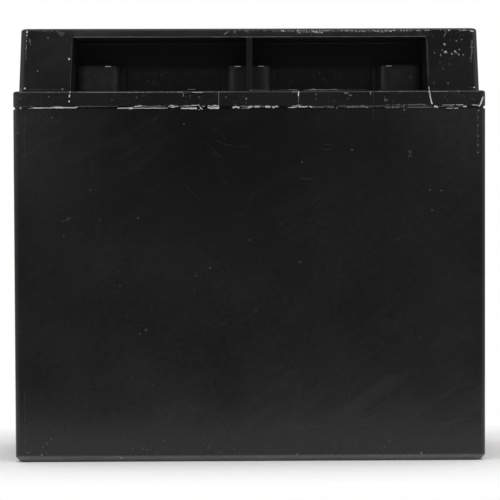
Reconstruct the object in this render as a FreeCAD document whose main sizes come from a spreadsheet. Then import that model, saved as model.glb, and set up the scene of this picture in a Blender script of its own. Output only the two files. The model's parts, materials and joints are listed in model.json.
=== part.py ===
import FreeCAD, Part
import math
import os
import re
import Sketcher

# Sealed lead-acid battery of six cells in a row, seen on its long side.
# X runs along the case, Y across it and Z up. The origin is the middle of the base.
# Front is -Y, the side with the three link wells. Rear is +Y, the terminal side.

CELLS = 6
POSITIVES = 4
NEGATIVES = 5

# Driving sizes in millimetres and degrees.
SIZES = {
    # Overall envelope
    "case_length": 181,
    "case_width": 77,
    "battery_height": 166,
    # Case moulding
    "case_draft": 0.2,
    "corner_radius": 2.4,
    "foot_chamfer": 2,
    "case_wall": 2.8,
    "floor_wall": 3.2,
    "partition_wall": 1.8,
    "seam_gap": 1.1,
    "seam_depth": 0.6,
    "tongue_inset": 1.6,
    "tongue_height": 3.2,
    # Joint between case and lid
    "joint_clearance": 0.15,
    "resin_bead": 0.6,
    "collar_wall": 1.2,
    "collar_depth": 3,
    # Lid moulding
    "lid_height": 30,
    "rim_height": 5.8,
    "rim_radius": 0.9,
    "lid_wall": 2.2,
    "lid_draft": 2.07,
    "block_inset": 2,
    "block_radius": 3,
    "top_radius": 1.1,
    "roof_wall": 3.5,
    "pocket_depth": 19.8,
    "end_block": 20,
    "pocket_flare": 4,
    "rib_wall": 2.3,
    "window_radius": 0.4,
    # Wells over the links
    "well_height": 11.2,
    "well_width": 17.6,
    "well_reach": 10,
    "well_radius": 4.4,
    "well_inset": 4.2,
    "well_bevel": 0.5,
    "step_margin": 2,
    "step_reach": 3,
    "step_drop": 1.2,
    # Vent trough and its cover
    "trough_end": 7.5,
    "trough_side": 2.7,
    "trough_depth": 12,
    "trough_radius": 3,
    "cover_ledge": 1.5,
    "cover_wall": 1.8,
    "cover_sink": 0.1,
    "cover_clearance": 0.25,
    "cover_notch": 4,
    "cover_rib_wall": 1.4,
    "cover_rib_height": 2.1,
    "cover_rib_spacing": 6,
    "neck_diameter": 8,
    "neck_bore": 4,
    "valve_wall": 2,
    "valve_roof": 1.2,
    "valve_lift": 0.8,
    "valve_gap": 0.3,
    # Terminal recesses
    "recess_length": 22,
    "recess_depth": 18,
    "recess_floor_wall": 2.4,
    "recess_radius": 1,
    "cup_diameter": 14,
    "cup_height": 2.2,
    "cup_wall": 1.5,
    "boss_drop": 3.6,
    # Poles, seals and terminals
    "pole_from_end": 11,
    "pole_from_side": 9.5,
    "pole_diameter": 8,
    "pole_clearance": 0.2,
    "pole_foot_overhang": 2,
    "pole_flange_height": 2,
    "gasket_wall": 2,
    "gasket_height": 1.8,
    "gasket_clearance": 0.1,
    "spigot_diameter": 6,
    "seal_sink": 0.3,
    "terminal_gap": 0.3,
    "terminal_wall": 2.5,
    "terminal_width": 13,
    "terminal_foot": 10,
    "terminal_corner": 3,
    "terminal_head": 6,
    # Bolted joint
    "bolt_diameter": 5,
    "bolt_length": 16,
    "bolt_point": 0.6,
    "bolt_hole_clearance": 0.25,
    "bolt_foot_gap": 0.5,
    "hex_width": 8,
    "head_height": 3.5,
    "nut_height": 4,
    "washer_diameter": 10,
    "washer_clearance": 0.15,
    "washer_wall": 1,
    "spring_diameter": 8.6,
    "spring_wall": 1.3,
    "spring_split": 0.8,
    # Plate groups
    "strap_drop": 10,
    "strap_height": 6,
    "strap_gap": 0.7,
    "strap_overhang": 1,
    "lug_height": 5,
    "stack_clearance": 0.3,
    "plate_ratio": 0.61,
    "separator_wall": 0.78,
    "separator_clearance": 0.6,
    "separator_margin": 1,
    "separator_lift": 2,
    # Links over the partitions
    "link_clearance": 1,
    "link_bridge": 6,
    "link_lift": 1.2,
    "link_bevel": 1.5,
}

# Sizes that follow from the driving ones.
DERIVED = {
    "cell_pitch": f"(case_length - 2 * case_wall + partition_wall) / {CELLS}",
    "cell_length": "cell_pitch - partition_wall",
    "cell_width": "case_width - 2 * case_wall",
    "seam_height": "battery_height - lid_height",
    "shoulder_level": "seam_height - seam_gap",
    "tongue_top": "seam_height + tongue_height",
    "cell_lean": "2 * (tongue_top - floor_wall) * tan(case_draft)",
    "deck_level": "tongue_top + resin_bead",
    "rim_level": "seam_height + rim_height",
    "block_length": "case_length - 2 * block_inset",
    "block_width": "case_width - 2 * block_inset",
    "block_height": "battery_height - rim_level",
    "roof_level": "battery_height - roof_wall",
    "skirt_wall": "tongue_inset - joint_clearance",
    "collar_length": "cell_length - 2 * joint_clearance",
    "collar_width": "cell_width - 2 * joint_clearance",
    "hollow_length": "collar_length - 2 * collar_wall",
    "spine_half": "block_width / 2 - pocket_depth",
    "hollow_half": "spine_half - lid_wall",
    "front_pocket_half": "block_length / 2 - end_block",
    "well_top": "rim_level + well_height",
    "well_roof": "well_top - lid_wall",
    "well_front": "spine_half + well_reach - lid_wall",
    "well_back": "spine_half - well_inset",
    "well_half": "well_width / 2 - lid_wall",
    "trough_length": "block_length - 2 * trough_end",
    "trough_width": "2 * (spine_half - trough_side)",
    "trough_level": "battery_height - trough_depth",
    "hollow_roof": "trough_level - lid_wall",
    "cover_recess": "cover_wall + cover_sink",
    "cover_level": "battery_height - cover_recess",
    "valve_top": "cover_level - cover_rib_height - valve_gap",
    "neck_top": "valve_top - valve_roof",
    "recess_level": "battery_height - recess_depth",
    "recess_start": "block_length / 2 - recess_length",
    "rear_pocket_half": "recess_start - lid_wall",
    "under_recess": "recess_level - recess_floor_wall",
    "boss_level": "under_recess - boss_drop",
    "gasket_bore": "pole_diameter + 2 * gasket_wall + 2 * gasket_clearance",
    "pole_x": "block_length / 2 - pole_from_end",
    "pole_y": "block_width / 2 - pole_from_side",
    "foot_level": "recess_level + cup_height + terminal_gap",
    "bolt_level": "foot_level + terminal_wall + bolt_foot_gap + washer_diameter / 2",
    "terminal_top": "bolt_level + terminal_head",
    "tab_back": "pole_y - terminal_foot / 2",
    "tab_face": "tab_back + terminal_wall",
    "washer_bore": "bolt_diameter + 2 * washer_clearance",
    "strap_level": "seam_height - strap_drop",
    "strap_top": "strap_level + strap_height",
    "strap_y": "(well_front + well_back) / 2",
    "link_width": "well_front - well_back - 2 * link_clearance",
    "strap_width": "link_width + 2 * strap_overhang",
    "strap_length": "cell_length - 2 * strap_gap",
    "stack_length": "cell_length - cell_lean - 2 * stack_clearance",
    "mat_total": f"{2 * POSITIVES} * separator_wall",
    "positive_wall": f"(stack_length - mat_total) / ({POSITIVES} + {NEGATIVES} * plate_ratio)",
    "negative_wall": "plate_ratio * positive_wall",
    "plate_pitch": "positive_wall + negative_wall + 2 * separator_wall",
    "plate_foot": "floor_wall + separator_wall",
    "plate_top": "strap_level - lug_height",
    "separator_width": "cell_width - cell_lean - 2 * separator_clearance",
    "plate_width": "separator_width - 2 * separator_margin",
    "link_underside": "tongue_top + link_lift",
    "link_inner": "partition_wall / 2 + strap_gap",
    "link_outer": "well_half - link_clearance",
}

WORD = re.compile(r"[a-z][a-z_]*")


def bound(text):
    """Expression text with every size name pointing at the sheet."""
    def swap(found):
        name = found.group(0)
        if name in SIZES:
            return "sizes." + name
        if name in DERIVED:
            return "(" + bound(DERIVED[name]) + ")"
        return name
    return WORD.sub(swap, text)


def number(text):
    """Value of an expression written with size names."""
    result = doc.getObject("sizes").evalExpression(bound(text))
    return float(getattr(result, "Value", result))


def tie(thing, prop, text):
    """Bind a property of an object to an expression of sizes."""
    thing.setExpression(prop, bound(text))


def make_sheet():
    sheet = doc.addObject("Spreadsheet::Sheet", "sizes")
    for row, (name, value) in enumerate(SIZES.items(), start=1):
        sheet.set(f"A{row}", name)
        sheet.set(f"B{row}", str(value))
        sheet.setAlias(f"B{row}", name)
    doc.recompute()


def new_body(label, x="0", y="0", z="0"):
    """Body of one piece, standing at the given place."""
    body = doc.addObject("PartDesign::Body", label)
    body.Label = label
    body.AllowCompound = True
    for axis, text in (("x", x), ("y", y), ("z", z)):
        if text != "0":
            tie(body, f"Placement.Base.{axis}", text)
    return body


def origin_part(body, role):
    return next(item for item in body.Origin.OriginFeatures if item.Role == role)


def new_sketch(body, name, plane="XY_Plane", offset=None):
    """Sketch on one of the body's own planes, shifted along its normal."""
    sketch = body.newObject("Sketcher::SketchObject", name)
    sketch.AttachmentSupport = [(origin_part(body, plane), "")]
    sketch.MapMode = "FlatFace"
    if offset is not None:
        tie(sketch, "AttachmentOffset.Base.z", offset)
    return sketch


def pin_point(sketch, index, position, x, y):
    """Dimension a point from the sketch origin."""
    for kind, text, axis in (("DistanceX", x, -2), ("DistanceY", y, -1)):
        size = number(text)
        if abs(size) < 1e-9:
            sketch.addConstraint(Sketcher.Constraint("PointOnObject", index, position, axis))
        else:
            spot = sketch.addConstraint(Sketcher.Constraint(kind, -1, 1, index, position, size))
            tie(sketch, f"Constraints[{spot}]", text)


def add_polygon(sketch, corners):
    """Closed outline through corners written as pairs of expressions."""
    points = [FreeCAD.Vector(number(x), number(y), 0) for x, y in corners]
    count = len(points)
    first = sketch.GeometryCount
    for index, point in enumerate(points):
        sketch.addGeometry(Part.LineSegment(point, points[(index + 1) % count]))
    for index in range(count):
        follower = first + (index + 1) % count
        sketch.addConstraint(Sketcher.Constraint("Coincident", first + index, 2, follower, 1))
    for index, (x, y) in enumerate(corners):
        pin_point(sketch, first + index, 1, x, y)


def add_rectangle(sketch, left, right, low, high, radius=None):
    """Upright rectangle, with round corners where a radius is given."""
    if radius is None:
        add_polygon(sketch, [(left, low), (right, low), (right, high), (left, high)])
        return
    centres = [
        (f"({left}) + ({radius})", f"({low}) + ({radius})", 180),
        (f"({right}) - ({radius})", f"({low}) + ({radius})", 270),
        (f"({right}) - ({radius})", f"({high}) - ({radius})", 0),
        (f"({left}) + ({radius})", f"({high}) - ({radius})", 90),
    ]
    size = number(radius)
    first = sketch.GeometryCount
    arcs = []
    for x, y, start in centres:
        circle = Part.Circle(FreeCAD.Vector(number(x), number(y), 0), FreeCAD.Vector(0, 0, 1), size)
        arc = Part.ArcOfCircle(circle, math.radians(start), math.radians(start + 90))
        arcs.append(arc)
        sketch.addGeometry(arc)
    for index in range(4):
        start_point = arcs[index].EndPoint
        end_point = arcs[(index + 1) % 4].StartPoint
        sketch.addGeometry(Part.LineSegment(start_point, end_point))
    for index in range(4):
        line = first + 4 + index
        sketch.addConstraint(Sketcher.Constraint("Tangent", first + index, 2, line, 1))
        sketch.addConstraint(Sketcher.Constraint("Tangent", line, 2, first + (index + 1) % 4, 1))
    for index, (x, y, start) in enumerate(centres):
        pin_point(sketch, first + index, 3, x, y)
        spot = sketch.addConstraint(Sketcher.Constraint("Radius", first + index, size))
        tie(sketch, f"Constraints[{spot}]", radius)


def add_centred_rectangle(sketch, length, width, radius=None, x="0", y="0"):
    add_rectangle(sketch, f"{x} - ({length}) / 2", f"{x} + ({length}) / 2",
                  f"{y} - ({width}) / 2", f"{y} + ({width}) / 2", radius)


def add_circle(sketch, diameter, x="0", y="0"):
    centre = FreeCAD.Vector(number(x), number(y), 0)
    index = sketch.addGeometry(Part.Circle(centre, FreeCAD.Vector(0, 0, 1), number(diameter) / 2))
    pin_point(sketch, index, 3, x, y)
    spot = sketch.addConstraint(Sketcher.Constraint("Diameter", index, number(diameter)))
    tie(sketch, f"Constraints[{spot}]", diameter)


def add_hexagon(sketch, width):
    """Regular hexagon about the sketch origin, given across its flats."""
    corner = f"({width}) / (2 * cos(30))"
    half = f"({width}) / 2"
    add_polygon(sketch, [(corner, "0"), (f"{corner} / 2", half), (f"-{corner} / 2", half),
                         (f"-{corner}", "0"), (f"-{corner} / 2", f"-{half}"),
                         (f"{corner} / 2", f"-{half}")])


def pad(body, sketch, length, down=False, middle=False):
    """Material added from a sketch."""
    feature = body.newObject("PartDesign::Pad", sketch.Name + "_pad")
    feature.Profile = sketch
    tie(feature, "Length", length)
    feature.Reversed = down
    feature.Midplane = middle
    body.Tip = feature
    return feature


def pocket(body, sketch, depth, up=False):
    """Material removed from a sketch."""
    feature = body.newObject("PartDesign::Pocket", sketch.Name + "_pocket")
    feature.Profile = sketch
    tie(feature, "Length", depth)
    feature.Reversed = up
    body.Tip = feature
    return feature


def revolve(body, sketch):
    """Solid of revolution about the body's upright axis."""
    feature = body.newObject("PartDesign::Revolution", sketch.Name + "_turned")
    feature.Profile = sketch
    feature.ReferenceAxis = (origin_part(body, "Z_Axis"), [""])
    feature.Angle = 360
    body.Tip = feature
    return feature


def repeat_along(body, feature, axis, count, spacing):
    """Row of equal copies of a feature at a fixed spacing."""
    row = body.newObject("PartDesign::LinearPattern", feature.Name + "_row")
    row.Originals = [feature]
    row.Direction = (origin_part(body, axis), [""])
    row.Mode = "Spacing"
    row.Occurrences = count
    tie(row, "Offset", spacing)
    body.Tip = row
    return row


def edges_where(feature, test):
    doc.recompute()
    return [f"Edge{index}" for index, edge in enumerate(feature.Shape.Edges, start=1) if test(edge)]


def lean_faces(body, feature, low, high, hinge, angle, reverse=False, side=0):
    """Draft on the walls between two heights, hinged at a flat face of a third height.

    A side of -1 or 1 keeps it to the walls on that side of the middle."""
    doc.recompute()
    faces = list(enumerate(feature.Shape.Faces, start=1))
    walls, level = rising(low, high), flat_at(hinge)
    lean = body.newObject("PartDesign::Draft", feature.Name + "_draft")
    lean.Base = (feature, [f"Face{index}" for index, face in faces
                           if walls(face) and side * face.CenterOfMass.y >= 0])
    lean.NeutralPlane = (feature, [f"Face{index}" for index, face in faces if level(face)][:1])
    tie(lean, "Angle", angle)
    lean.Reversed = reverse
    body.Tip = lean
    return lean


def round_edges(body, feature, test, radius):
    """Fillet on the edges that pass the test."""
    blend = body.newObject("PartDesign::Fillet", feature.Name + "_round")
    blend.Base = (feature, edges_where(feature, test))
    tie(blend, "Radius", radius)
    body.Tip = blend
    return blend


def bevel_edges(body, feature, test, size):
    """Chamfer on the edges that pass the test."""
    bevel = body.newObject("PartDesign::Chamfer", feature.Name + "_bevel")
    bevel.Base = (feature, edges_where(feature, test))
    tie(bevel, "Size", size)
    body.Tip = bevel
    return bevel


def flat_at(level):
    """Test for edges or faces that lie wholly at one height."""
    return rising(level, level)


def rising(low, high):
    """Test for edges or faces that reach from one height to another."""
    foot, head = number(low), number(high)
    return lambda part: abs(part.BoundBox.ZMin - foot) < 1e-4 and abs(part.BoundBox.ZMax - head) < 1e-4


def cell_x(cell):
    return f"({cell} - {(CELLS + 1) / 2}) * cell_pitch"


def partition_x(link):
    return f"({link} - {CELLS / 2}) * cell_pitch"


def link_side(link):
    """Odd links cross at the front and even ones at the rear."""
    return -1 if link % 2 else 1


def make_case():
    """Six-cell case with a tongue all round and on every partition."""
    body = new_body("case")
    outside = new_sketch(body, "case_outline", offset="shoulder_level")
    add_centred_rectangle(outside, "case_length", "case_width")
    block = pad(body, outside, "shoulder_level", down=True)
    walls = lean_faces(body, block, "0", "shoulder_level", "shoulder_level", "case_draft", reverse=True)
    corners = round_edges(body, walls, rising("0", "shoulder_level"), "corner_radius")
    bevel_edges(body, corners, flat_at("0"), "min(foot_chamfer; 0.9 * corner_radius)")
    ledge = new_sketch(body, "case_ledge", offset="shoulder_level")
    add_centred_rectangle(ledge, "case_length - 2 * seam_depth", "case_width - 2 * seam_depth",
                          "corner_radius - seam_depth")
    pad(body, ledge, "seam_gap")
    tongue = new_sketch(body, "case_tongue", offset="seam_height")
    add_centred_rectangle(tongue, "case_length - 2 * tongue_inset", "case_width - 2 * tongue_inset",
                          "corner_radius - tongue_inset")
    pad(body, tongue, "tongue_height")
    cell = new_sketch(body, "case_cell", offset="tongue_top")
    add_centred_rectangle(cell, "cell_length", "cell_width", x=cell_x(1))
    well = pocket(body, cell, "tongue_top - floor_wall")
    row = repeat_along(body, well, "X_Axis", CELLS, "cell_pitch")
    lean_faces(body, row, "floor_wall", "tongue_top", "tongue_top", "case_draft")
    return body


def hollow_corners(cell):
    """Outline of the gas space above a cell, stepped back where a link well stands."""
    left = f"{cell_x(cell)} - hollow_length / 2"
    right = f"{cell_x(cell)} + hollow_length / 2"
    past_left = f"{partition_x(cell - 1)} + well_half + lid_wall"
    past_right = f"{partition_x(cell)} - well_half - lid_wall"
    full = "hollow_half"
    short = "(well_back - lid_wall)"
    left_well = link_side(cell - 1) if cell > 1 else 0
    right_well = link_side(cell) if cell < CELLS else 0
    corners = []
    if left_well == -1:
        corners += [(left, f"-{short}"), (past_left, f"-{short}"), (past_left, f"-{full}")]
    else:
        corners += [(left, f"-{full}")]
    if right_well == -1:
        corners += [(past_right, f"-{full}"), (past_right, f"-{short}"), (right, f"-{short}")]
    else:
        corners += [(right, f"-{full}")]
    if right_well == 1:
        corners += [(right, short), (past_right, short), (past_right, full)]
    else:
        corners += [(right, full)]
    if left_well == 1:
        corners += [(past_left, full), (past_left, short), (left, short)]
    else:
        corners += [(left, full)]
    return corners


def lid_shell(body):
    """Rim, block above it and the joint with the case below."""
    rim = new_sketch(body, "lid_rim", offset="seam_height")
    add_centred_rectangle(rim, "case_length", "case_width", "corner_radius")
    rim_pad = pad(body, rim, "rim_height")
    round_edges(body, rim_pad, flat_at("rim_level"), "rim_radius")
    block = new_sketch(body, "lid_block", offset="rim_level")
    add_centred_rectangle(block, "block_length", "block_width")
    block_pad = pad(body, block, "block_height")
    sides = lean_faces(body, block_pad, "rim_level", "battery_height", "rim_level", "lid_draft")
    corners = round_edges(body, sides, rising("rim_level", "battery_height"), "block_radius")
    round_edges(body, corners, flat_at("battery_height"), "top_radius")
    joint = new_sketch(body, "lid_joint", offset="seam_height")
    add_centred_rectangle(joint, "case_length - 2 * skirt_wall", "case_width - 2 * skirt_wall",
                          "corner_radius - skirt_wall")
    pocket(body, joint, "tongue_height + resin_bead", up=True)
    collar = new_sketch(body, "lid_collar", offset="deck_level")
    add_centred_rectangle(collar, "collar_length", "collar_width", x=cell_x(1))
    add_centred_rectangle(collar, "hollow_length", "collar_width - 2 * collar_wall", x=cell_x(1))
    ring = pad(body, collar, "collar_depth", down=True)
    repeat_along(body, ring, "X_Axis", CELLS, "cell_pitch")


def pocket_outline(sketch, side, half):
    """Plan of a side pocket, narrower at its back wall, open at the side of the block."""
    front = "(block_width / 2 + block_inset)"
    back_half = f"({half}) - pocket_depth * tan(pocket_flare)"
    front_half = f"({half}) + block_inset * tan(pocket_flare)"
    corners = [(f"-({front_half})", f"-{front}"), (f"-({back_half})", "-spine_half"),
               (back_half, "-spine_half"), (front_half, f"-{front}")]
    if side > 0:
        corners = [(x, y[1:]) for x, y in corners]
    add_polygon(sketch, corners)


def window_edge(side, half):
    """Test for the edges where a pocket opens in the side of the block."""
    low, high = number("rim_level"), number("roof_level")
    face = number("block_width / 2 - roof_wall")
    reach = number(half) + 2

    def test(edge):
        box = edge.BoundBox
        outside = side * box.Center.y > face and abs(box.Center.x) < reach
        inside = box.ZMin > low - 1e-4 and box.ZMax < high + 1e-4 and box.Center.z > low + 1
        return outside and inside and box.YLength < high - low
    return test


def well_rim(side, half):
    """Test for the top edges of the wells that stand clear of the pocket's own walls."""
    top = flat_at("well_top")
    lean = "well_height * tan(lid_draft)"
    wall = number(f"spine_half + {lean} + well_bevel / 2")
    end = number(f"{half} - pocket_depth * tan(pocket_flare) - {lean} - well_bevel / 2")

    def test(edge):
        middle = edge.BoundBox.Center
        return top(edge) and side * middle.y > wall and abs(middle.x) < end
    return test


def across(side, near, far):
    """Low and high Y of a stretch that runs outward from the middle of the lid."""
    return (f"-({far})", f"-({near})") if side < 0 else (near, far)


def lid_side(body, side, half, wells):
    """Roofed pocket with a rounded well over each link and a rib in the middle."""
    word = "front" if side < 0 else "rear"
    space = new_sketch(body, f"{word}_pocket", offset="rim_level")
    pocket_outline(space, side, half)
    cut = pocket(body, space, "roof_level - rim_level", up=True)
    window = lean_faces(body, cut, "rim_level", "roof_level", "rim_level", "lid_draft",
                        reverse=True, side=side)
    round_edges(body, window, window_edge(side, half), "window_radius")
    steps = new_sketch(body, f"{word}_well_steps", offset="rim_level")
    domes = new_sketch(body, f"{word}_wells", offset="rim_level")
    for link in wells:
        x = partition_x(link)
        low, high = across(side, "spine_half - lid_wall / 2", "spine_half + step_reach")
        reach = "(well_width / 2 + step_margin)"
        add_rectangle(steps, f"{x} - {reach}", f"{x} + {reach}", low, high)
        low, high = across(side, "spine_half - well_radius", "spine_half + well_reach")
        left, right = f"{x} - well_width / 2", f"{x} + well_width / 2"
        if number(left) < -number(half):
            left = f"-({half} + well_radius)"
        if number(right) > number(half):
            right = f"{half} + well_radius"
        add_rectangle(domes, left, right, low, high, "well_radius")
    pad(body, steps, "well_height - step_drop")
    dome_pad = pad(body, domes, "well_height")
    bevel_edges(body, dome_pad, well_rim(side, half), "well_bevel")
    rib = new_sketch(body, f"{word}_rib", plane="YZ_Plane")
    sign = "-" if side < 0 else ""
    lean = "(roof_level - rim_level) * tan(lid_draft)"
    root = f"{sign}(spine_half - lid_wall / 2)"
    add_polygon(rib, [(f"{sign}(block_width / 2)", "rim_level"),
                      (f"{sign}(block_width / 2 - {lean})", "roof_level"),
                      (root, "roof_level"), (root, "rim_level")])
    pad(body, rib, "rib_wall", middle=True)


def lid_hollows(body):
    """Spaces cored out of the lid from below."""
    cells = new_sketch(body, "gas_spaces", offset="deck_level")
    for cell in range(1, CELLS + 1):
        add_polygon(cells, hollow_corners(cell))
    pocket(body, cells, "hollow_roof - deck_level", up=True)
    wells = new_sketch(body, "link_wells", offset="deck_level - collar_depth")
    for link in range(1, CELLS):
        x = partition_x(link)
        low, high = ("-well_front", "-well_back") if link_side(link) < 0 else ("well_back", "well_front")
        add_rectangle(wells, f"{x} - well_half", f"{x} + well_half", low, high)
    pocket(body, wells, "well_roof - deck_level + collar_depth", up=True)
    ends = new_sketch(body, "end_hollows", offset="deck_level")
    under = new_sketch(body, "recess_hollows", offset="deck_level")
    lean = "block_height * tan(lid_draft)"
    outer = f"(block_length / 2 - {lean} - lid_wall)"
    side = f"(block_width / 2 - {lean} - lid_wall)"
    for sign in ("-", ""):
        last_well = f"{partition_x(CELLS - 1)} + well_half"
        inner = f"(max(front_pocket_half; {last_well}) + lid_wall)"
        beside = "(recess_start + lid_wall)"
        add_polygon(ends, [(f"{sign}{inner}", f"-{side}"), (f"{sign}{outer}", f"-{side}"),
                           (f"{sign}{outer}", "-spine_half"), (f"{sign}{inner}", "-spine_half")])
        add_polygon(under, [(f"{sign}{beside}", "spine_half"), (f"{sign}{outer}", "spine_half"),
                            (f"{sign}{outer}", side), (f"{sign}{beside}", side)])
    pocket(body, ends, "battery_height - lid_wall - deck_level", up=True)
    pocket(body, under, "under_recess - deck_level", up=True)


def lid_terminals(body):
    """Corner recess for each terminal with its pole boss, resin cup and gasket seat."""
    recess = new_sketch(body, "terminal_recess", offset="battery_height")
    bosses = new_sketch(body, "pole_bosses", offset="under_recess")
    cups = new_sketch(body, "resin_cups", offset="recess_level")
    bores = new_sketch(body, "pole_bores", offset="recess_level")
    seats = new_sketch(body, "gasket_seats", offset="boss_level")
    for sign in ("-", ""):
        past_end = f"{sign}(case_length / 2 + recess_radius)"
        left, right = sorted((f"{sign}recess_start", past_end), key=number)
        add_rectangle(recess, left, right, "spine_half", "case_width / 2 + recess_radius",
                      "recess_radius")
        x = f"{sign}pole_x"
        add_circle(bosses, "gasket_bore + 2 * cup_wall", x, "pole_y")
        add_circle(cups, "cup_diameter", x, "pole_y")
        add_circle(cups, "cup_diameter + 2 * cup_wall", x, "pole_y")
        add_circle(bores, "pole_diameter + 2 * pole_clearance", x, "pole_y")
        add_circle(seats, "gasket_bore", x, "pole_y")
    pocket(body, recess, "recess_depth")
    pad(body, bosses, "boss_drop", down=True)
    pad(body, cups, "cup_height")
    pocket(body, bores, "recess_floor_wall + boss_drop")
    pocket(body, seats, "gasket_height + gasket_clearance", up=True)


def lid_vents(body):
    """Trough along the top with a vent neck above every cell."""
    recess = new_sketch(body, "cover_recess", offset="battery_height")
    add_centred_rectangle(recess, "trough_length + 2 * cover_ledge", "trough_width + 2 * cover_ledge",
                          "trough_radius + cover_ledge")
    pocket(body, recess, "cover_recess")
    trough = new_sketch(body, "vent_trough", offset="cover_level")
    add_centred_rectangle(trough, "trough_length", "trough_width", "trough_radius")
    pocket(body, trough, "cover_level - trough_level")
    neck = new_sketch(body, "vent_neck", offset="trough_level")
    add_circle(neck, "neck_diameter", x=cell_x(1))
    neck_pad = pad(body, neck, "neck_top - trough_level")
    repeat_along(body, neck_pad, "X_Axis", CELLS, "cell_pitch")
    bore = new_sketch(body, "vent_bore", offset="neck_top")
    add_circle(bore, "neck_bore", x=cell_x(1))
    bore_pocket = pocket(body, bore, "neck_top - hollow_roof")
    repeat_along(body, bore_pocket, "X_Axis", CELLS, "cell_pitch")


def make_lid():
    """Moulded lid, one piece."""
    body = new_body("lid")
    lid_shell(body)
    lid_side(body, -1, "front_pocket_half", [link for link in range(1, CELLS) if link_side(link) < 0])
    lid_side(body, 1, "rear_pocket_half", [link for link in range(1, CELLS) if link_side(link) > 0])
    lid_hollows(body)
    lid_terminals(body)
    lid_vents(body)
    return body


def make_vent_cover():
    """Flush cover with two ribs that keep the valves down and gas notches in its edges."""
    body = new_body("vent_cover")
    length = "(trough_length + 2 * cover_ledge - 2 * cover_clearance)"
    plate = new_sketch(body, "cover_plate", offset="cover_level")
    add_centred_rectangle(plate, length, "trough_width + 2 * cover_ledge - 2 * cover_clearance",
                          "trough_radius + cover_ledge - cover_clearance")
    pad(body, plate, "cover_wall")
    ribs = new_sketch(body, "cover_ribs", offset="cover_level")
    notch = new_sketch(body, "cover_notches", offset="cover_level")
    edge = "(trough_width / 2 + cover_ledge)"
    for sign in ("-", ""):
        add_centred_rectangle(ribs, "trough_length - 2 * trough_radius", "cover_rib_wall",
                              y=f"{sign}cover_rib_spacing / 2")
        low, high = sorted((f"{sign}({edge} - cover_ledge)", f"{sign}{edge}"), key=number)
        add_rectangle(notch, "-cover_notch / 2", "cover_notch / 2", low, high)
    pad(body, ribs, "cover_rib_height", down=True)
    pocket(body, notch, "cover_wall", up=True)
    return body


def make_valve(cell):
    """Rubber cap pushed over a vent neck."""
    body = new_body(f"vent_valve_{cell}", x=cell_x(cell))
    section = new_sketch(body, f"valve_section_{cell}", plane="XZ_Plane")
    bore = "neck_diameter / 2"
    add_polygon(section, [("0", "neck_top"), (bore, "neck_top"), (bore, "trough_level + valve_lift"),
                          (f"{bore} + valve_wall", "trough_level + valve_lift"),
                          (f"{bore} + valve_wall", "valve_top"), ("0", "valve_top")])
    revolve(body, section)
    return body


def strap_place(cell, positive):
    """Side of the cell on which a strap lies: -1 front, 1 rear."""
    front = (cell % 2 == 1) == positive
    return -1 if front else 1


def make_plates(cell, positive):
    """Plates of one polarity in a cell, each with its lug under the strap."""
    word = "positive" if positive else "negative"
    count = POSITIVES if positive else NEGATIVES
    body = new_body(f"{word}_plates_{cell}", x=cell_x(cell))
    start = f"-plate_pitch * {(count - 1) / 2}"
    side = new_sketch(body, f"{word}_plate_{cell}", plane="YZ_Plane", offset=start)
    sign = "-" if strap_place(cell, positive) < 0 else ""
    near, far = f"{sign}(strap_y - link_width / 2)", f"{sign}(strap_y + link_width / 2)"
    first, last = (far, near) if sign else (near, far)
    foot = "plate_foot" if positive else "plate_foot + separator_wall"
    add_polygon(side, [("-plate_width / 2", foot), ("plate_width / 2", foot),
                       ("plate_width / 2", "plate_top"), (last, "plate_top"), (last, "strap_level"),
                       (first, "strap_level"), (first, "plate_top"), ("-plate_width / 2", "plate_top")])
    plate = pad(body, side, f"{word}_wall", middle=True)
    repeat_along(body, plate, "X_Axis", count, "plate_pitch")
    return body


def make_separators(cell):
    """Glass mats of a cell, each folded under a positive plate."""
    body = new_body(f"separators_{cell}", x=cell_x(cell))
    fold = new_sketch(body, f"separator_fold_{cell}", plane="XZ_Plane")
    middle = f"-plate_pitch * {(POSITIVES - 1) / 2}"
    inner, outer = "positive_wall / 2", "(positive_wall / 2 + separator_wall)"
    top = "plate_top + separator_lift"
    add_polygon(fold, [(f"{middle} - {outer}", top), (f"{middle} - {outer}", "floor_wall"),
                       (f"{middle} + {outer}", "floor_wall"), (f"{middle} + {outer}", top),
                       (f"{middle} + {inner}", top), (f"{middle} + {inner}", "plate_foot"),
                       (f"{middle} - {inner}", "plate_foot"), (f"{middle} - {inner}", top)])
    mat = pad(body, fold, "separator_width", middle=True)
    repeat_along(body, mat, "X_Axis", POSITIVES, "plate_pitch")
    return body


def make_strap(cell, positive):
    """Lead bar cast across the lugs of a plate group, longer where a pole stands on it."""
    word = "positive" if positive else "negative"
    body = new_body(f"{word}_strap_{cell}", x=cell_x(cell))
    bar = new_sketch(body, f"{word}_bar_{cell}", offset="strap_level")
    side = strap_place(cell, positive)
    has_pole = (cell == 1 and not positive) or (cell == CELLS and positive)
    inner = "strap_y - strap_width / 2"
    pole_edge = "pole_y + pole_diameter / 2 + pole_foot_overhang"
    outer = pole_edge if has_pole else "strap_y + strap_width / 2"
    low, high = (f"-({outer})", f"-({inner})") if side < 0 else (inner, outer)
    add_rectangle(bar, "-strap_length / 2", "strap_length / 2", low, high)
    pad(body, bar, "strap_height")
    return body


def make_link(link):
    """Lead bridge over a partition, standing on the straps of both cells."""
    body = new_body(f"intercell_link_{link}", x=partition_x(link))
    side = link_side(link)
    section = new_sketch(body, f"link_section_{link}", plane="XZ_Plane",
                         offset="strap_y" if side < 0 else "-strap_y")
    top = "link_underside + link_bridge"
    add_polygon(section, [("-link_outer", "strap_top"), ("-link_inner", "strap_top"),
                          ("-link_inner", "link_underside"), ("link_inner", "link_underside"),
                          ("link_inner", "strap_top"), ("link_outer", "strap_top"),
                          ("link_outer", top), ("-link_outer", top)])
    bridge = pad(body, section, "link_width", middle=True)
    bevel_edges(body, bridge, top_long_edges(top), "link_bevel")
    return body


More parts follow.
